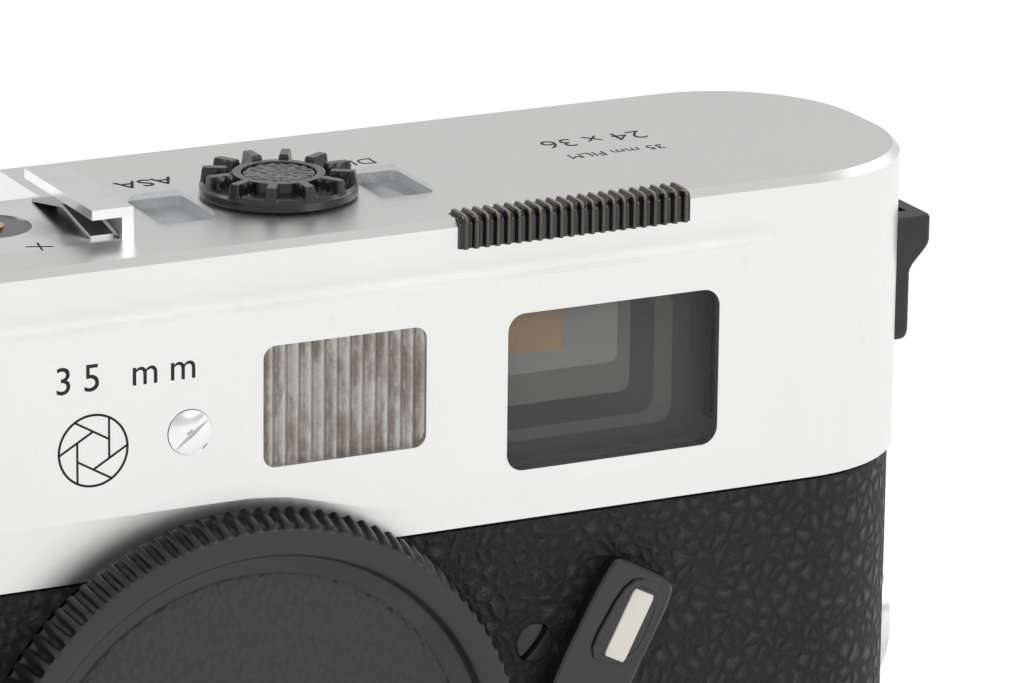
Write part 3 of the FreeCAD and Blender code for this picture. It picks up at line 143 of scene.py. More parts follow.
class Finish:
    """A material in the making: one Principled shader and the nodes that feed it."""

    def __init__(self, name, **plain):
        self.material = bpy.data.materials.new(name)
        self.material.use_nodes = True
        self.tree = self.material.node_tree
        self.shader = self.tree.nodes["Principled BSDF"]
        self.place = Value(self, self.tree.nodes.new("ShaderNodeTexCoord").outputs["Object"])
        for socket, value in plain.items():
            self.set(socket.replace("_", " "), value)

    def set(self, socket, value):
        """Give a shader socket a plain value or a link."""
        target = self.shader.inputs[socket]
        if isinstance(value, Value):
            self.tree.links.new(value.socket, target)
        elif isinstance(value, tuple) and len(value) == 3:
            target.default_value = (*value, 1)
        else:
            target.default_value = value

    def node(self, kind, settings=None, links=None, out=0):
        """Any other node: its settings first, then plain values or links for its inputs."""
        made = self.tree.nodes.new(kind)
        for name, value in (settings or {}).items():
            setattr(made, name, value)
        for name, value in (links or {}).items():
            if isinstance(value, Value):
                self.tree.links.new(value.socket, made.inputs[name])
            elif isinstance(value, tuple) and len(value) == 3 and len(made.inputs[name].default_value) == 4:
                made.inputs[name].default_value = (*value, 1)
            else:
                made.inputs[name].default_value = value
        return Value(self, made.outputs[out])

    def noise(self, scale, detail=3.0, rough=0.55, place=None):
        links = {"Vector": place or self.place, "Scale": scale, "Detail": detail, "Roughness": rough}
        return self.node("ShaderNodeTexNoise", None, links)

    def cells(self, scale, feature="F1", smooth=None, place=None):
        links = {"Vector": place or self.place, "Scale": scale}
        if smooth is not None:
            feature = "SMOOTH_F1"
            links["Smoothness"] = smooth
        return self.node("ShaderNodeTexVoronoi", {"feature": feature}, links)

    def ramp(self, value, low, high, soft=True):
        """Map a span of a value to 0..1."""
        kind = "SMOOTHSTEP" if soft else "LINEAR"
        links = {"Value": value, "From Min": low, "From Max": high}
        return self.node("ShaderNodeMapRange", {"interpolation_type": kind}, links)

    def tint(self, share, first, second):
        """A colour between two colours."""
        made = self.tree.nodes.new("ShaderNodeMix")
        made.data_type = "RGBA"
        self.tree.links.new(share.socket, made.inputs[0])
        for index, colour in ((6, first), (7, second)):
            if isinstance(colour, Value):
                self.tree.links.new(colour.socket, made.inputs[index])
            else:
                made.inputs[index].default_value = (*colour, 1)
        return Value(self, made.outputs[2])

    def bump(self, height, distance, strength=1.0, before=None):
        """Relief for the Normal socket; the distance is in metres."""
        links = {"Height": height, "Distance": distance, "Strength": strength}
        if before is not None:
            links["Normal"] = before
        return self.node("ShaderNodeBump", None, links)


# %% [markdown]
# Satin chrome is bright metal over a bead-blasted base. Its colour barely changes; what the eye reads as satin
# is a wide, even highlight with a very fine grain, a few faint handling marks and a faint cloudy darkening.

# %% Satin chrome
def satin_chrome(name, colour=(0.82, 0.82, 0.815), rough=0.36, grain=1.0):
    finish = Finish(name, Metallic=1.0)
    cloud = finish.noise(60, 4)
    speck = finish.noise(2600, 2)
    marks = finish.ramp(finish.noise(420, 6, 0.7), 0.62, 0.74)
    darker = tuple(channel * 0.9 for channel in colour)
    finish.set("Base Color", finish.tint(marks * 0.5 + cloud * 0.25, colour, darker))
    finish.set("Roughness", cloud * 0.06 + speck * 0.08 + (rough - 0.07))
    finish.set("Normal", finish.bump(speck, 0.000012 * grain, 0.6))
    return finish.material


# %% [markdown]
# Polished chrome and plain steel share one recipe: brushed lines are noise stretched along one axis.

# %% Bright metals
def bright_metal(name, colour, rough, stretch=(1, 1, 1)):
    finish = Finish(name, Metallic=1.0)
    place = finish.node("ShaderNodeMapping", None, {"Vector": finish.place, "Scale": stretch})
    lines = finish.noise(900, 3, 0.6, place)
    stain = finish.ramp(finish.noise(180, 5), 0.45, 0.75)
    finish.set("Base Color", finish.tint(stain, colour, tuple(channel * 0.82 for channel in colour)))
    finish.set("Roughness", lines * 0.12 + stain * 0.08 + rough)
    finish.set("Normal", finish.bump(lines, 0.000008, 0.5))
    return finish.material


# %% [markdown]
# The covering is pebbled leather: domes of one to two millimetres pressed close together, each split again by
# finer creases. Cell noise gives both: the distance to a cell's edge is low in the valleys and high on a dome.

# %% Leather
def pebbled_leather(name):
    finish = Finish(name, IOR=1.5)
    wander = finish.node("ShaderNodeTexNoise", None, {"Vector": finish.place, "Scale": 300.0, "Detail": 2.0}, out=1)
    links = {0: wander, 1: (0.0014, 0.0014, 0.0014), 2: finish.place}
    bent = finish.node("ShaderNodeVectorMath", {"operation": "MULTIPLY_ADD"}, links)
    edge = finish.cells(640, "DISTANCE_TO_EDGE", place=bent)
    fine = finish.cells(1300, "DISTANCE_TO_EDGE", place=bent)
    dome = finish.ramp(edge, 0.0, 0.45)
    crease = finish.ramp(fine, 0.0, 0.10)
    grain = finish.noise(6000, 3)
    height = dome * 0.82 + crease * 0.10 + grain * 0.08
    # The valleys are painted darker than the domes: painted shade in the creases.
    finish.set("Base Color", finish.tint(dome, (0.003, 0.003, 0.003), (0.018, 0.018, 0.019)))
    finish.set("Roughness", 0.66 - dome * 0.34 + grain * 0.10)
    finish.set("Normal", finish.bump(height, 0.00050, 1.0))
    return finish.material


# %% [markdown]
# Black pieces differ by their sheen: enamel is half matt, dial and lever are glossy, the cap is a matt moulding
# with a spark-eroded texture. One recipe covers them, with paler patches at random.

# %% Black finishes
def black_finish(name, shade, rough, grain_scale=1800, relief=0.00001, coat=0.0, tone=(1, 1, 1.03)):
    finish = Finish(name, Coat_Weight=coat, Coat_Roughness=0.12)
    grain = finish.noise(grain_scale, 3, 0.6)
    cloud = finish.noise(140, 4)
    base = tuple(shade * channel for channel in tone)
    pale = tuple(min(channel * 1.5 + 0.004, 1) for channel in base)
    finish.set("Base Color", finish.tint(finish.ramp(cloud, 0.35, 0.75), base, pale))
    finish.set("Roughness", grain * 0.14 + cloud * 0.08 + (rough - 0.1))
    finish.set("Normal", finish.bump(grain, relief, 0.8))
    return finish.material


# %% [markdown]
# Small parts: cream insert, enamelled scale, rubberised cloth, brass and clear glass.

# %% Other finishes
def plain_moulding(name, colour, rough):
    finish = Finish(name)
    cloud = finish.noise(300, 4)
    finish.set("Base Color", finish.tint(cloud, colour, tuple(channel * 0.82 for channel in colour)))
    finish.set("Roughness", finish.noise(1400, 2) * 0.15 + rough)
    finish.set("Normal", finish.bump(finish.noise(2400, 2), 0.000006, 0.5))
    return finish.material


def clear_glass(name, alpha=0.3, tone=(0.7, 0.74, 0.76), rough=0.04):
    finish = Finish(name, Alpha=alpha, IOR=1.5)
    haze = finish.ramp(finish.noise(160, 4), 0.4, 0.8)
    finish.set("Base Color", finish.tint(haze, tone, tuple(channel * 0.8 for channel in tone)))
    finish.set("Roughness", haze * 0.06 + rough)
    return finish.material


def woven_cloth(name):
    finish = Finish(name)
    wave = finish.node("ShaderNodeTexWave", {"bands_direction": "X"}, {"Vector": finish.place, "Scale": 900.0})
    cross = finish.node("ShaderNodeTexWave", {"bands_direction": "Z"}, {"Vector": finish.place, "Scale": 900.0})
    weave = wave * cross
    finish.set("Base Color", finish.tint(weave, (0.01, 0.01, 0.01), (0.03, 0.03, 0.032)))
    finish.set("Roughness", weave * 0.1 + 0.75)
    finish.set("Normal", finish.bump(weave, 0.00004, 0.8))
    return finish.material


FINISHES = {
    "cap_rim": black_finish("cap rim", 0.010, 0.34, 1200, 0.00002, 0.15),
    "satin_chrome": satin_chrome("satin chrome"),
    "base_chrome": satin_chrome("base chrome", (0.76, 0.76, 0.75), 0.4),
    "bright_chrome": bright_metal("bright chrome", (0.86, 0.86, 0.86), 0.12),
    "leather": pebbled_leather("black leather"),
    "black_enamel": black_finish("black enamel", 0.012, 0.42),
    "black_gloss": black_finish("gloss black", 0.006, 0.24, 900, 0.000006, 0.4),
    "cap_plastic": black_finish("cap moulding", 0.022, 0.50, 1600, 0.00006),
    "insert": plain_moulding("cream insert", (0.80, 0.78, 0.70), 0.3),
    "steel": bright_metal("steel", (0.50, 0.50, 0.51), 0.28, (1, 1, 8)),
    "brass": bright_metal("brass", (0.70, 0.52, 0.26), 0.25),
    "film_parts": black_finish("spool moulding", 0.02, 0.4),
    "scale_card": plain_moulding("white enamel", (0.75, 0.75, 0.72), 0.35),
    "cloth": woven_cloth("shutter cloth"),
    "glass": clear_glass("clear glass"),
}


# %% [markdown]
# A node keeps its own mesh and takes the finish of its slot in the record.

# %% Finish every node
slot_of = {entry["node"]: entry["material_slot"] for entry in frame["record"]["subparts"]}


def paint(item, material):
    item.data.materials.clear()
    item.data.materials.append(material)


for name, item in nodes.items():
    paint(item, FINISHES[slot_of[name]])


# %% [markdown]
# New pieces are rows of points. A row is a closed loop, and one row after another makes a skin: this is a loft.
# The ends are closed with one face, so every piece is a sealed solid.

# %% Loft helper
def solid(name, rows, body, slot, replaced=(), closed=True, smooth=True, angle=35, material=None):
    """Make a mesh from an array of loops, rows by points by 3, with both ends closed by a face."""
    rows = np.asarray(rows, float)
    count, around = rows.shape[:2]
    index = np.arange(count * around).reshape(count, around)
    near = np.roll(index, -1, axis=1)
    quads = np.stack([index[:-1], near[:-1], near[1:], index[1:]], axis=-1).reshape(-1, 4).tolist()
    ends = [index[0][::-1].tolist(), index[-1].tolist()] if closed else []
    mesh = bpy.data.meshes.new(name)
    mesh.from_pydata(rows.reshape(-1, 3).tolist(), [], quads + ends)
    return finish_mesh(name, mesh, body, slot, replaced, smooth, angle, material)


def finish_mesh(name, mesh, body, slot, replaced=(), smooth=True, angle=35, material=None):
    """Weld a mesh, turn its faces outwards, shade it, and hand it to its body."""
    work = bmesh.new()
    work.from_mesh(mesh)
    bmesh.ops.remove_doubles(work, verts=work.verts, dist=1e-7)
    bmesh.ops.recalc_face_normals(work, faces=work.faces)
    work.to_mesh(mesh)
    work.free()
    item = bpy.data.objects.new(name, mesh)
    scene.collection.objects.link(item)
    if smooth:
        mesh.shade_smooth()
        mesh.set_sharp_from_angle(angle=math.radians(angle))
    paint(item, material or FINISHES[slot])
    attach(item, body)
    if replaced:
        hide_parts(*replaced)
    print("piece", name, len(mesh.polygons), "faces")
    return item


# %% [markdown]
# Outlines: a rounded rectangle, and the hull of two circles for levers. Both shrink evenly when their radii
# shrink, so an inset or a bevel is the same outline with a smaller radius.

# %% Outlines
def rounded_loop(width, height, radius, count=12):
    """Loop in a plane: quarter arcs at the corners of a rectangle, joined by the straight sides."""
    turns = np.linspace(0, np.pi / 2, count)
    loops = []
    for quarter, (sx, sy) in enumerate(((1, 1), (-1, 1), (-1, -1), (1, -1))):
        angle = turns + quarter * np.pi / 2
        centre = np.array([sx * (width / 2 - radius), sy * (height / 2 - radius)])
        loops.append(centre + radius * np.stack([np.cos(angle), np.sin(angle)], axis=1))
    return np.concatenate(loops)


def facing(loop, y, centre=(0, 0), tilt=0.0):
    """Stand a flat loop up facing the subject at a depth, tilted clockwise about the origin, then moved."""
    turn = math.radians(tilt)
    x = loop[:, 0] * math.cos(turn) + loop[:, 1] * math.sin(turn)
    z = -loop[:, 0] * math.sin(turn) + loop[:, 1] * math.cos(turn)
    return np.stack([x + centre[0], np.full(len(loop), y), z + centre[1]], axis=1)


# %% [markdown]
# The body cap is turned, then ribbed: its radius at the skirt rises and falls with the angle about a hundred
# times a turn. The profile goes from the rear rim over the skirt and the flat ring down into the dish.

# %% Body cap
def pebbled_moulding(name):
    finish = Finish(name)
    edge = finish.cells(1500, smooth=0.6)
    fine = finish.noise(3200, 3)
    # The pebbles are painted lighter at their middles and darker towards their borders: painted shade between the
    # pebbles.
    finish.set("Base Color", finish.tint(edge, (0.034, 0.034, 0.036), (0.016, 0.016, 0.017)))
    finish.set("Roughness", fine * 0.15 + 0.42)
    finish.set("Normal", finish.bump(1 - edge + fine * 0.2, 0.00022, 1.0))
    return finish.material


def turned(name, profile, wave, body, slot, replaced=(), material=None, angle=50):
    """Turn a profile of (radius, depth, share of the wave) about the lens axis; the wave trims the radius."""
    turn = np.linspace(0, 2 * np.pi, len(wave), endpoint=False)
    radius = profile[:, 0, None] + profile[:, 2, None] * wave[None, :]
    x = lens.x + radius * np.cos(turn)
    z = lens.z + radius * np.sin(turn)
    y = np.repeat(profile[:, 1, None], len(turn), axis=1)
    return solid(name, np.stack([x, y, z], axis=-1), body, slot, replaced, angle=angle, material=material)


def body_cap():
    """The skirt's radius is trimmed by a rib wave of about a hundred periods; ring and dish are smooth."""
    ribs, samples = 112, 12
    rear, front = cap_low.y / MM + 3.9, cap_low.y / MM
    wide = (cap_high.x - lens.x) / MM
    narrow = wide - 0.7
    dish = front + 1.7
    ring = np.array([
        (wide - 3.4, rear, 0), (wide - 0.35, rear, 0), (wide, rear - 0.25, 0.5), (wide - 0.05, rear - 0.5, 1),
        (wide - 0.2, rear - 1.5, 1), (wide - 0.4, rear - 2.5, 1), (narrow + 0.05, front + 0.7, 1),
        (narrow - 0.05, front + 0.35, 0.6), (narrow - 0.3, front + 0.05, 0.15), (narrow - 0.7, front, 0),
        (narrow - 1.2, front, 0), (narrow - 2.5, front, 0), (narrow - 2.8, front + 0.12, 0), (narrow - 3.0, front + 0.5, 0),
        (narrow - 3.2, dish - 0.2, 0), (narrow - 3.45, dish, 0), (narrow - 4.6, dish, 0), (narrow - 4.8, dish + 0.15, 0),
        (narrow - 5.2, dish + 0.3, 0), (narrow - 5.4, dish + 1.2, 0),
    ]) * np.array([MM, MM, MM])
    angle = np.linspace(0, 2 * np.pi, ribs * samples, endpoint=False)
    wave = (np.clip(np.cos(angle * ribs) * 1.7, -1, 1) * 0.5 - 0.5) * 0.6
    turned("ribbed_cap", ring, wave, "body_cap", "cap_plastic", ("body_cap",), FINISHES["cap_rim"])
    floor = np.array([
        (0.02, dish + 1.2, 0), (narrow - 5.0, dish + 1.2, 0), (narrow - 5.0, dish + 0.3, 0), (narrow - 5.3, dish + 0.12, 0),
        (narrow - 5.8, dish + 0.08, 0), (12.0, dish + 0.1, 0), (0.02, dish + 0.1, 0),
    ]) * MM
    turned("cap_dish", floor, np.zeros(240), "body_cap", "cap_plastic", (), pebbled_moulding("pebbled moulding"))


body_cap()


# %% [markdown]
# The levers are flat mouldings with a raised rim, a sunk floor and a pale bar let into it. Each level is the
# same outline again, a little smaller and at another depth.

# %% Levers
def corners_cut(points, share=0.18, times=3, loop=True):
    """Round an outline's corners: each pass replaces a corner by two points nearer its neighbours."""
    points = np.asarray(points, float)
    for _ in range(times):
        after = np.roll(points, -1, axis=0)
        pairs = np.stack([points * (1 - share) + after * share, points * share + after * (1 - share)], 1)
        if loop:
            points = pairs.reshape(-1, 2)
        else:
            points = np.concatenate([points[:1], pairs[:-1].reshape(-1, 2), points[-1:]])
    return points


def shrunk(loop, amount):
    """Move each point inwards along the mean of its two side normals."""
    side = np.roll(loop, -1, 0) - loop
    side /= np.linalg.norm(side, axis=1, keepdims=True)
    normal = np.stack([side[:, 1], -side[:, 0]], 1)
    mean = normal + np.roll(normal, 1, 0)
    mean /= np.linalg.norm(mean, axis=1, keepdims=True)
    area = np.sum(loop[:, 0] * np.roll(loop[:, 1], -1) - np.roll(loop[:, 0], -1) * loop[:, 1])
    return loop - mean * amount * (1 if area > 0 else -1)


def moulded(name, loop, profile, body, slot, replaced=(), material=None):
    """Stack one outline at several depths; profile lists (inset, y) in mm."""
    rows = [facing(shrunk(loop, inset), y) for inset, y in profile]
    return solid(name, np.array(rows) * MM, body, slot, replaced, angle=28, material=material)


def lever(name, node, insert, pivot, tilt, root, blade, pad, bar):
    """Blade, raised pad and pale bar; drawn upright at the pivot, then tilted clockwise."""
    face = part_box(node)[0].y / MM
    back = face + 1.9
    turn = math.radians(tilt)
    spin = np.array([[math.cos(turn), -math.sin(turn)], [math.sin(turn), math.cos(turn)]])

    def lay(points):
        return np.asarray(points, float) @ spin + pivot

    arc = np.linspace(np.pi, 2 * np.pi, 14)
    boss = np.stack([root * np.cos(arc), root * np.sin(arc)], 1)
    edge = lay(np.concatenate([corners_cut(blade, 0.2, 2, loop=False), boss]))
    rim = [(0.2, back), (0.0, back - 0.2), (0.0, face + 0.75), (0.1, face + 0.5), (0.35, face + 0.35)]
    moulded(name, edge, rim, node_body(node), "black_gloss", (node,))
    raised = [(0, face + 0.5), (0, face + 0.12), (0.12, face), (0.7, face), (0.8, face + 0.1)]
    moulded(name + "_pad", lay(corners_cut(pad, 0.2, 2)), raised, node_body(node), "black_gloss")
    across, low, high = bar
    square = [(across + 1.17, low), (across + 1.17, high), (across - 1.17, high), (across - 1.17, low)]
    proud = [(0, face + 0.3), (0, face + 0.02), (0.06, face - 0.05), (0.12, face - 0.07)]
    moulded(name + "_bar", lay(corners_cut(square, 0.06, 2)), proud, node_body(insert), "insert", (insert,))


def node_body(node):
    return nodes[node]["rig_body"]


selector_edge = [
    (3.8, 3.0), (3.45, 8.4), (3.6, 16.0), (3.3, 17.9), (2.2, 18.6), (-3.2, 18.8), (-4.1, 18.3), (-4.5, 15.3),
    (-4.7, 7.1), (-4.2, 3.0),
]
selector_pad = [(3.1, 9.9), (2.75, 17.6), (-1.9, 17.7), (-2.7, 8.5)]
timer_edge = [
    (3.9, 3.0), (3.75, 12.0), (3.65, 17.4), (3.1, 20.2), (1.7, 21.2), (-1.7, 21.2), (-3.1, 20.2), (-3.65, 17.4),
    (-3.75, 12.0), (-3.9, 3.0),
]
timer_pad = [
    (2.6, 10.6), (2.95, 12.0), (2.95, 19.4), (2.4, 20.2), (-2.4, 20.2), (-2.95, 19.4), (-2.95, 12.0), (-2.6, 10.6),
]
selector_bar, timer_bar = (0.25, 9.7, 16.6), (0.0, 11.7, 18.7)
lever(
    "selector_blade", "frame_selector_lever", "frame_selector_insert", (32.6, 32.0), 27, 4.3, selector_edge,
    selector_pad, selector_bar,
)
lever(
    "timer_blade", "self_timer_lever", "self_timer_insert", (-36.4, 30.5), 0, 4.6, timer_edge, timer_pad, timer_bar,
)


# %% [markdown]
# Round details, such as the dial and the screws, are reliefs: a disc of points whose height is
# a formula of radius and angle. The rim drops straight down so that the piece is a closed solid.

# %% Relief on a disc
def smooth(value, low, high):
    """0 below low, 1 above high, with an S between."""
    share = np.clip((value - low) / (high - low), 0, 1)
    return share * share * (3 - 2 * share)


def relief(name, centre, out, radii, steps, height, depth, body, slot, replaced=(), angle=30, material=None):
    """Point = centre + r * (cos a, sin a) across the axis + height(r, a) along it; all lengths in mm."""
    turn = np.linspace(0, 2 * np.pi, steps, endpoint=False)
    radius = np.asarray(radii, float)[:, None] * np.ones_like(turn)
    rise = height(radius, turn[None, :] * np.ones_like(radius))
    radius = np.concatenate([radius, radius[-1:]])
    rise = np.concatenate([rise, np.full((1, steps), -float(depth))])
    across = radius * np.cos(turn)
    up = radius * np.sin(turn)
    if out == "up":
        points = np.stack([centre[0] + across, centre[1] + up, centre[2] + rise], -1)
    else:
        points = np.stack([centre[0] + across, centre[1] - rise, centre[2] + up], -1)
    return solid(name, points * MM, body, slot, replaced, angle=angle, material=material)


# %% [markdown]
# The film speed dial: a bevelled disc, twelve grip ridges that widen outwards, a ring and a crinkled middle.

# %% Film speed dial
def rough_skin(x, y, size):
    """A cheap crinkle from sums of waves that cross at odd angles."""
    total = 0
    for index, (u, v) in enumerate(((1, 0.3), (-0.4, 1), (0.8, -0.9), (0.2, 1.3), (1.4, 0.7), (-1.1, 0.6))):
        total = total + np.sin((x * u + y * v) / size * 2 * np.pi + index * 1.7 + np.sin((x * v - y * u) / size * 3))
    return total / 6


def dial_height(radius, turn):
    rim = 1.35 - 0.35 * smooth(radius, 6.95, 7.3)
    lane = np.abs((turn / (2 * np.pi) * 12 + 0.5) % 1 - 0.5) / 12 * 2 * np.pi * radius
    ridge = smooth(0.62 - lane, 0, 0.2) * smooth(radius, 4.55, 4.85) * smooth(7.22 - radius, 0, 0.2)
    ring = smooth(radius, 3.35, 3.5) * smooth(4.45 - radius, 0, 0.15)
    crinkle = 0.10 * rough_skin(radius * np.cos(turn), radius * np.sin(turn), 1.3)
    middle = smooth(3.4 - radius, 0, 0.12)
    return rim + ridge * 1.15 + ring * 0.85 + middle * (0.75 + crinkle)


dial_centre = middle("film_speed_dial") / MM
dial_radii = np.concatenate([np.linspace(0.15, 3.2, 22), np.linspace(3.3, 7.3, 46)])
relief("speed_dial", (dial_centre.x, dial_centre.y, deck / MM), "up", dial_radii, 480, dial_height, -0.3,
       "film_speed_dial", "black_gloss", ("film_speed_dial",), angle=40)


# %% [markdown]
# Screws are shallow domes with a slot: the slot is a strip in which the height drops.

# %% Screws
def screw(name, centre, radius, slot_angle, slot, replaced=(), material=None):
    def height(r, turn):
        across = np.abs(-r * np.cos(turn) * math.sin(slot_angle) + r * np.sin(turn) * math.cos(slot_angle))
        dome = 0.35 * (1 - (r / radius) ** 2) + 0.1 - 0.12 * smooth(r, radius - 0.12, radius)
        return dome - 0.75 * (1 - smooth(across, 0.24, 0.30))

    relief(
        name, centre, "front", np.linspace(0.05, radius, 34), 160, height, 0.8, "camera_body", slot, replaced, 30,
        material,
    )


screw_low, screw_high = (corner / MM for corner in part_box("front_screw"))
screw("leather_screw", ((screw_low.x + screw_high.x) / 2, screw_low.y + 0.1, (screw_low.z + screw_high.z) / 2), 1.9,
      math.radians(50), "black_enamel", ("front_screw",))
screw("panel_screw", (-5.4, panel_face / MM, 68.0), 2.1, math.radians(38), "bright_chrome")


# %% [markdown]
# Both ribbed windows are corrugated sheets. The one in the panel has round ribs of old, stained metal film
# behind glass; the one in the top edge is a black moulding whose ribs run from the front over onto the deck.

# %% Worn metal and ribbed black
def worn_ribs(name, start, pitch):
    finish = Finish(name)
    across = finish.node("ShaderNodeSeparateXYZ", None, {0: finish.place}, out=0)
    phase = (across - start) * (2 * math.pi / pitch)
    wave = finish.node("ShaderNodeMath", {"operation": "COSINE"}, {0: phase})
    stretch = finish.node("ShaderNodeMapping", None, {"Vector": finish.place, "Scale": (1.0, 1.0, 0.35)})
    blotch = finish.ramp(finish.noise(520, 6, 0.7, stretch), 0.42, 0.62)
    fine = finish.noise(2400, 5, 0.7)
    rust = (blotch * 0.5 + fine * 0.45 - wave * 0.22 - 0.2).high(0.0).low(1.0)
    metal = finish.tint(fine, (0.58, 0.57, 0.54), (0.34, 0.33, 0.31))
    finish.set("Base Color", finish.tint(rust, metal, (0.13, 0.085, 0.045)))
    finish.set("Metallic", 0.75 - rust * 0.5)
    finish.set("Roughness", 0.36 + rust * 0.25)
    finish.set("Normal", finish.bump(fine, 0.00004, 0.7))
    return finish.material


def ribbed_black(name, start, pitch):
    finish = Finish(name, Coat_Weight=0.4)
    across = finish.node("ShaderNodeSeparateXYZ", None, {0: finish.place}, out=0)
    phase = (across - start) * (2 * math.pi / pitch)
    wave = finish.node("ShaderNodeMath", {"operation": "COSINE"}, {0: phase})
    fine = finish.noise(1500, 5, 0.7)
    high = finish.node("ShaderNodeSeparateXYZ", None, {0: finish.place}, out=2)
    top = finish.ramp(high, deck - 0.2 * MM, deck + 0.3 * MM)
    worn = finish.ramp(wave + fine * 0.5, 0.8, 1.25) * (top * 0.75 + 0.2)
    finish.set("Base Color", finish.tint(worn, (0.006, 0.006, 0.006), (0.30, 0.24, 0.15)))
    finish.set("Roughness", worn * 0.3 + fine * 0.12 + 0.16)
    finish.set("Normal", finish.bump(fine, 0.00001, 0.5))
    return finish.material


# %% Ribbed window in the panel
def ribbed_panel_window():
    """Rows along X; each row is a vertical line in front and one behind, cut short near the ends by the corners."""
    low, high = (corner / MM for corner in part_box("frame_light_window"))
    pitch, corner, depth = 1.27, 1.2, 0.42
    x = np.linspace(low.x, high.x, 12 * 13 + 1)
    reach = np.clip(np.minimum(x - low.x, high.x - x), 0, corner)
    trim = corner - np.sqrt(np.maximum(corner ** 2 - (corner - reach) ** 2, 0.0)) + 0.001
    front = panel_face / MM + 0.75 - depth * 0.5 * (1 + np.cos((x - low.x - 1) / pitch * 2 * np.pi)) + depth * 0.5
    height = np.linspace(0, 1, 14)
    front_line = np.stack([
        np.repeat(x[:, None], 14, 1),
        np.repeat(front[:, None], 14, 1),
        (low.z + trim)[:, None] + (high.z - low.z - 2 * trim)[:, None] * height,
    ], -1)
    back_line = front_line[:, ::-1].copy()
    back_line[:, :, 1] = high.y
    material = worn_ribs("worn ribbed film", (low.x + 1) * MM, pitch * MM)
    solid(
        "ribbed_film", np.concatenate([front_line, back_line], 1) * MM, "camera_body", "glass",
        ("frame_light_window",), angle=50, material=material,
    )


ribbed_panel_window()


# %% Ribbed window in the top edge
def ribbed_edge_window():
    """Rows along X; each row is an L with a round corner, pushed out where a rib passes."""
    low, high = (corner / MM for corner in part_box("meter_light_window"))
    pitch = 1.07
    x = np.linspace(low.x, high.x, 22 * 12 + 1)
    rib = 0.20 * np.clip(np.cos((x - low.x - 0.55) / pitch * 2 * np.pi) * 1.8, -1, 1) - 0.2
    rib[:3] = rib[-3:] = -0.4
    bend = np.linspace(0, np.pi / 2, 8)
    front, top, corner = low.y, high.z, 0.7
    rows = []
    for at, push in zip(x, rib):
        y = [front - push] + list(front - push + corner * (1 - np.cos(bend))) + [high.y]
        z = [low.z] + list(top + push - corner * (1 - np.sin(bend))) + [top + push]
        y += [high.y, front + 1.6, front + 1.6]
        z += [top - 1.3, top - 1.3, low.z]
        rows.append([(at, a, b) for a, b in zip(y, z)])
    material = ribbed_black("ribbed black", (low.x + 0.55) * MM, pitch * MM)
    solid(
        "ribbed_edge", np.array(rows) * MM, "camera_body", "black_gloss", ("meter_light_window",), angle=40,
        material=material,
    )


ribbed_edge_window()


# %% [markdown]
# Looking into the finder, the edges of its inner frames show as nested dark steps towards the right and below,
# with a tan patch of stray light at the upper left. They are thin plates one behind another, each a little
# smaller, behind smoked glass. The greys of the plates are painted light and shade, and the tan patch is
# painted stray light.

# %% Plates
def plate(name, box, corner, y_front, y_back, body, slot, replaced=(), bevel=0.08, material=None):
    """A rounded rectangle that faces the subject, with a small bevel round its front; box is x, x, z, z in mm."""
    width, height = box[1] - box[0], box[3] - box[2]
    centre = ((box[0] + box[1]) / 2, (box[2] + box[3]) / 2)
    rows = []
    for inset, y in ((0, y_back), (0, y_front + bevel), (bevel * 0.3, y_front + bevel * 0.3), (bevel, y_front)):
        loop = rounded_loop(width - 2 * inset, height - 2 * inset, corner - inset * 0.9)
        rows.append(facing(loop, y, centre))
    return solid(name, np.array(rows) * MM, body, slot, replaced, material=material)


view_low, view_high = (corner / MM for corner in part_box("viewfinder_window"))
inside = view_high.y + 0.12


# Each finder plate's tone is painted light and shade of the view through the finder window.
def smoked(name, tone):
    finish = Finish(name)
    haze = finish.noise(90, 3)
    finish.set("Base Color", finish.tint(haze, (tone, tone * 0.99, tone * 0.96), (tone * 0.7, tone * 0.7, tone * 0.68)))
    finish.set("Roughness", haze * 0.2 + 0.35)
    return finish.material


# Last column: the plate's painted tone, pale grey at the upper left and near black at the right and below.
steps = [
    ("finder_step_a", 0.0, 0.0, 0.0, 0.0, 1.5, 0.008),
    ("finder_step_b", 0.3, 1.6, 0.9, 0.4, 1.5, 0.03),
    ("finder_step_c", 0.3, 3.6, 2.0, 0.4, 1.5, 0.14),
    ("finder_step_d", 0.3, 5.6, 3.2, 0.4, 1.4, 0.035),
    ("finder_step_e", 0.3, 8.2, 5.6, 0.4, 1.0, 0.22),
    ("finder_step_f", 0.3, 9.6, 8.6, 0.4, 0.8, 0.42),
]
for index, (name, left, right, below, above, corner, tone) in enumerate(steps):
    y = inside + 0.9 - index * 0.16
    box = (view_low.x + left, view_high.x - right, view_low.z + below, view_high.z - above)
    plate(name, box, corner, y, y + 0.12, "camera_body", "black_enamel", bevel=0.03, material=smoked(name, tone))
# Painted stray light: a tan patch at the upper left of the view.
tan = plain_moulding("tan glow", (0.55, 0.38, 0.22), 0.5)
tan_box = (view_low.x + 0.3, view_low.x + 6.4, view_high.z - 4.4, view_high.z - 0.3)
plate(
    "finder_glow", tan_box, 0.4, inside - 0.06, inside - 0.02, "camera_body", "black_enamel", bevel=0.01,
    material=tan,
)
plate(
    "finder_glass", (view_low.x, view_high.x, view_low.z, view_high.z), 1.7, view_low.y, view_high.y,
    "camera_body", "glass", ("viewfinder_window",), bevel=0.25,
    material=clear_glass("smoked glass", 0.22, (0.10, 0.10, 0.10), 0.02),
)


# %% [markdown]
# The strap lug is a U in plan that narrows in an S from its head to a rounded tab.

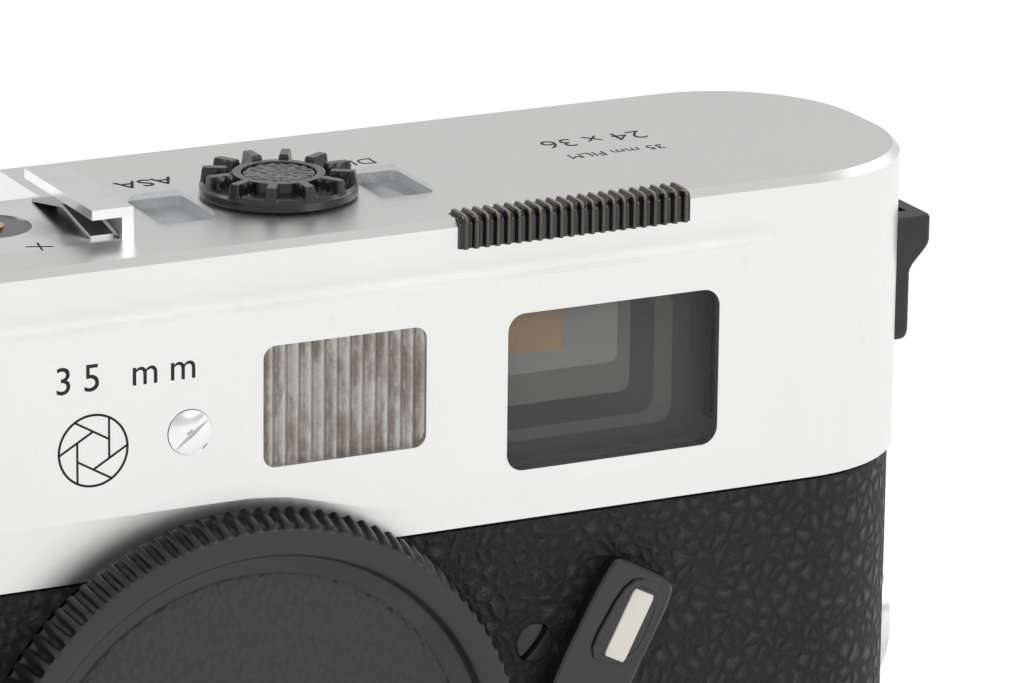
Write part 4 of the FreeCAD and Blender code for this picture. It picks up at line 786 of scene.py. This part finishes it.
# %% Strap lugs
def lug_rows(top, down):
    """Rows of the same U at falling heights; the reach from the body follows an S."""
    lug_low, lug_high = (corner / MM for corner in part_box("strap_lugs"))
    drop = np.concatenate([[0, 0.0], np.linspace(0.25, 11.2, 30), [11.7, 12.0, 12.15, 12.2, 12.2]])
    inset = np.concatenate([[0.5, 0.25], np.zeros(30), [0.15, 0.4, 0.75, 1.2, 2.0]])
    rows = []
    for step, pinch in zip(drop, inset):
        reach = lug_high.x - 2.1 * smooth(np.array(step), 2.4, 5.6) - pinch * 0.5
        half = lug_high.y - pinch * 0.5
        wall, front = 1.4, 2.2
        near = body_high.x / MM - 0.8
        turn = np.linspace(0, np.pi / 2, 6)
        corner = np.stack([reach - 0.6 + 0.6 * np.sin(turn), -half + 0.6 - 0.6 * np.cos(turn)], 1)
        other = np.stack([corner[::-1, 0], -corner[::-1, 1]], 1)
        outer = np.concatenate([[[near, -half]], corner, other, [[near, half]]])
        inner = np.array([
            [near, half - front],
            [reach - wall, half - front],
            [reach - wall, -half + front],
            [near, -half + front],
        ])
        loop = np.concatenate([outer, inner])
        rows.append(np.stack([loop[:, 0], loop[:, 1], np.full(len(loop), top - down * step)], 1))
    return np.array(rows) * MM


lug_low, lug_high = (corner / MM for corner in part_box("strap_lugs"))
solid("strap_lug_upper", lug_rows(lug_high.z, 1), "camera_body", "black_enamel", ("strap_lugs",))
solid("strap_lug_lower", lug_rows(lug_low.z, -1), "camera_body", "black_enamel", ("strap_lugs",))


# %% [markdown]
# Lettering is generic: film speeds, a flash mark, the picture size. Each word becomes a thin flat mesh that lies
# a hair above its surface.

# %% Lettering
def words(
    name, body_text, size, centre, slot="black_gloss", lay="deck", turn=0.0, body="camera_body", spacing=1.0,
    thin=False,
):
    """Letters as thin prisms, turned in their own plane and laid on the deck or on the front."""
    curve = bpy.data.curves.new(name, "FONT")
    curve.body = body_text
    curve.size = size
    curve.space_character = spacing
    curve.align_x = "CENTER"
    curve.align_y = "CENTER"
    curve.extrude = 0.012
    curve.resolution_u = 4
    if thin:
        curve.offset = -0.012 * size
    source = bpy.data.objects.new(name + "_curve", curve)
    mesh = bpy.data.meshes.new_from_object(source)
    bpy.data.objects.remove(source)
    points = np.zeros(len(mesh.vertices) * 3)
    mesh.vertices.foreach_get("co", points)
    points = points.reshape(-1, 3)
    c, s = math.cos(turn), math.sin(turn)
    u = points[:, 0] * c - points[:, 1] * s
    v = points[:, 0] * s + points[:, 1] * c
    if lay == "deck":
        placed = np.stack([u + centre[0], v + centre[1], points[:, 2] + centre[2]], 1)
    else:
        placed = np.stack([u + centre[0], centre[1] - points[:, 2], v + centre[2]], 1)
    mesh.vertices.foreach_set("co", (placed * MM).ravel())
    mesh.name = name
    return finish_mesh(name, mesh, body, slot, smooth=False, material=INK)


INK = plain_moulding("ink", (0.012, 0.012, 0.012), 0.72)
paint_z = deck / MM + 0.012
half_turn = math.pi
words("mark_asa", "ASA", 3.2, (1.2, 6.4, paint_z), turn=half_turn)
words("mark_din", "DIN", 2.6, (21.6, 5.0, paint_z), turn=half_turn, thin=True)
words("mark_flash", "X", 2.8, (-15.9, -9.4, paint_z), turn=half_turn + 0.5, thin=True)
words("mark_size", "24 x 36", 3.6, (46.0, 3.4, paint_z), turn=half_turn, thin=True)
words("mark_film", "35 mm FILM", 2.0, (46.0, -1.4, paint_z), turn=half_turn, thin=True)
panel_y = panel_face / MM - 0.012


def iris_mark(centre, radius):
    """A thin ring and six blades inside it, each a tangent bar: the closed form of a diaphragm."""
    turn = np.linspace(0, 2 * np.pi, 48, endpoint=False)
    rows = []
    for reach, y in (
        (radius, panel_y),
        (radius, panel_y - 0.012),
        (radius - 0.22, panel_y - 0.012),
        (radius - 0.22, panel_y),
    ):
        loop = np.stack([reach * np.cos(turn), reach * np.sin(turn)], 1)
        rows.append(facing(loop, y, centre))
    rows.append(rows[0])
    solid("iris_ring", np.array(rows) * MM, "camera_body", "black_gloss", closed=False, smooth=False, material=INK)
    for index in range(6):
        angle = index * np.pi / 3
        along = np.array([-np.sin(angle), np.cos(angle)])
        out = np.array([np.cos(angle), np.sin(angle)])
        start = out * radius * 0.42 - along * radius * 0.24
        end = out * radius * 0.42 + along * radius * 0.84
        bar = np.array([start, end, end + out * 0.2, start + out * 0.2])
        loops = [facing(bar, y, centre) for y in (panel_y, panel_y - 0.012)]
        name = f"iris_blade_{index + 1}"
        solid(name, np.array(loops) * MM, "camera_body", "black_gloss", smooth=False, material=INK)


iris_mark((-14.7, 67.5), 3.4)
words("mark_panel", "35 mm", 3.6, (-11.5, panel_y, 74.1), lay="front", spacing=1.5)


# %% [markdown]
# The floor is a plain pale sheet, open all round, and the light is three big soft boxes in a bright surround, as
# in a product studio.

# %% Floor
def floor():
    """A flat sheet, wide enough to fill the view and open on every side."""
    x = y = np.linspace(-3.0, 3.0, 25)
    grid = np.stack(np.meshgrid(x, y) + [np.zeros((len(y), len(x)))], -1)
    index = np.arange(len(y) * len(x)).reshape(len(y), len(x))
    quads = np.stack([index[:-1, :-1], index[:-1, 1:], index[1:, 1:], index[1:, :-1]], -1).reshape(-1, 4).tolist()
    mesh = bpy.data.meshes.new("floor")
    mesh.from_pydata(grid.reshape(-1, 3).tolist(), [], quads)
    mesh.shade_smooth()
    item = bpy.data.objects.new("floor", mesh)
    scene.collection.objects.link(item)
    finish = Finish("floor")
    finish.set("Base Color", finish.tint(finish.noise(3, 2), (0.93, 0.93, 0.93), (0.91, 0.91, 0.91)))
    finish.set("Roughness", 0.9)
    finish.set("Emission Color", (1.0, 1.0, 1.0))
    finish.set("Emission Strength", 0.28)
    paint(item, finish.material)


floor()


# %% Lights
def soft_box(name, place, aim, size, power):
    data = bpy.data.lights.new(name, "AREA")
    data.shape = "RECTANGLE"
    data.size, data.size_y = size
    data.energy = power
    item = bpy.data.objects.new(name, data)
    item.location = place
    item.rotation_euler = (Vector(aim) - Vector(place)).to_track_quat("-Z", "Y").to_euler()
    scene.collection.objects.link(item)


target = (0.0, 0.0, 0.06)
soft_box("left_box", (-0.9, 0.5, 0.7), target, (0.6, 0.6), 3.2)
soft_box("front_box", (0.5, -1.0, 0.5), target, (0.6, 0.5), 1.7)
soft_box("back_box", (0.9, 0.2, 0.7), target, (0.6, 0.5), 1.6)

world = bpy.data.worlds.new("studio")
world.use_nodes = True
world.node_tree.nodes["Background"].inputs["Color"].default_value = (1, 1, 1, 1)
world.node_tree.nodes["Background"].inputs["Strength"].default_value = 0.66
scene.world = world
scene.view_settings.view_transform = "Standard"


# %% [markdown]
# A long lens from the front left, a little above the deck.

# %% Camera
def camera():
    data = bpy.data.cameras.new("view")
    data.lens = 227.6
    data.sensor_width = 36
    data.clip_start = 0.01
    item = bpy.data.objects.new("view", data)
    place = Vector((-0.22629, -0.52253, 0.24212))
    aim = Vector((0.02757, -0.01675, 0.07182))
    turn = (aim - place).to_track_quat("-Z", "Y").to_matrix().to_4x4()
    item.matrix_world = Matrix.Translation(place) @ turn @ Matrix.Rotation(math.radians(0.7), 4, "Z")
    scene.collection.objects.link(item)
    scene.camera = item


camera()
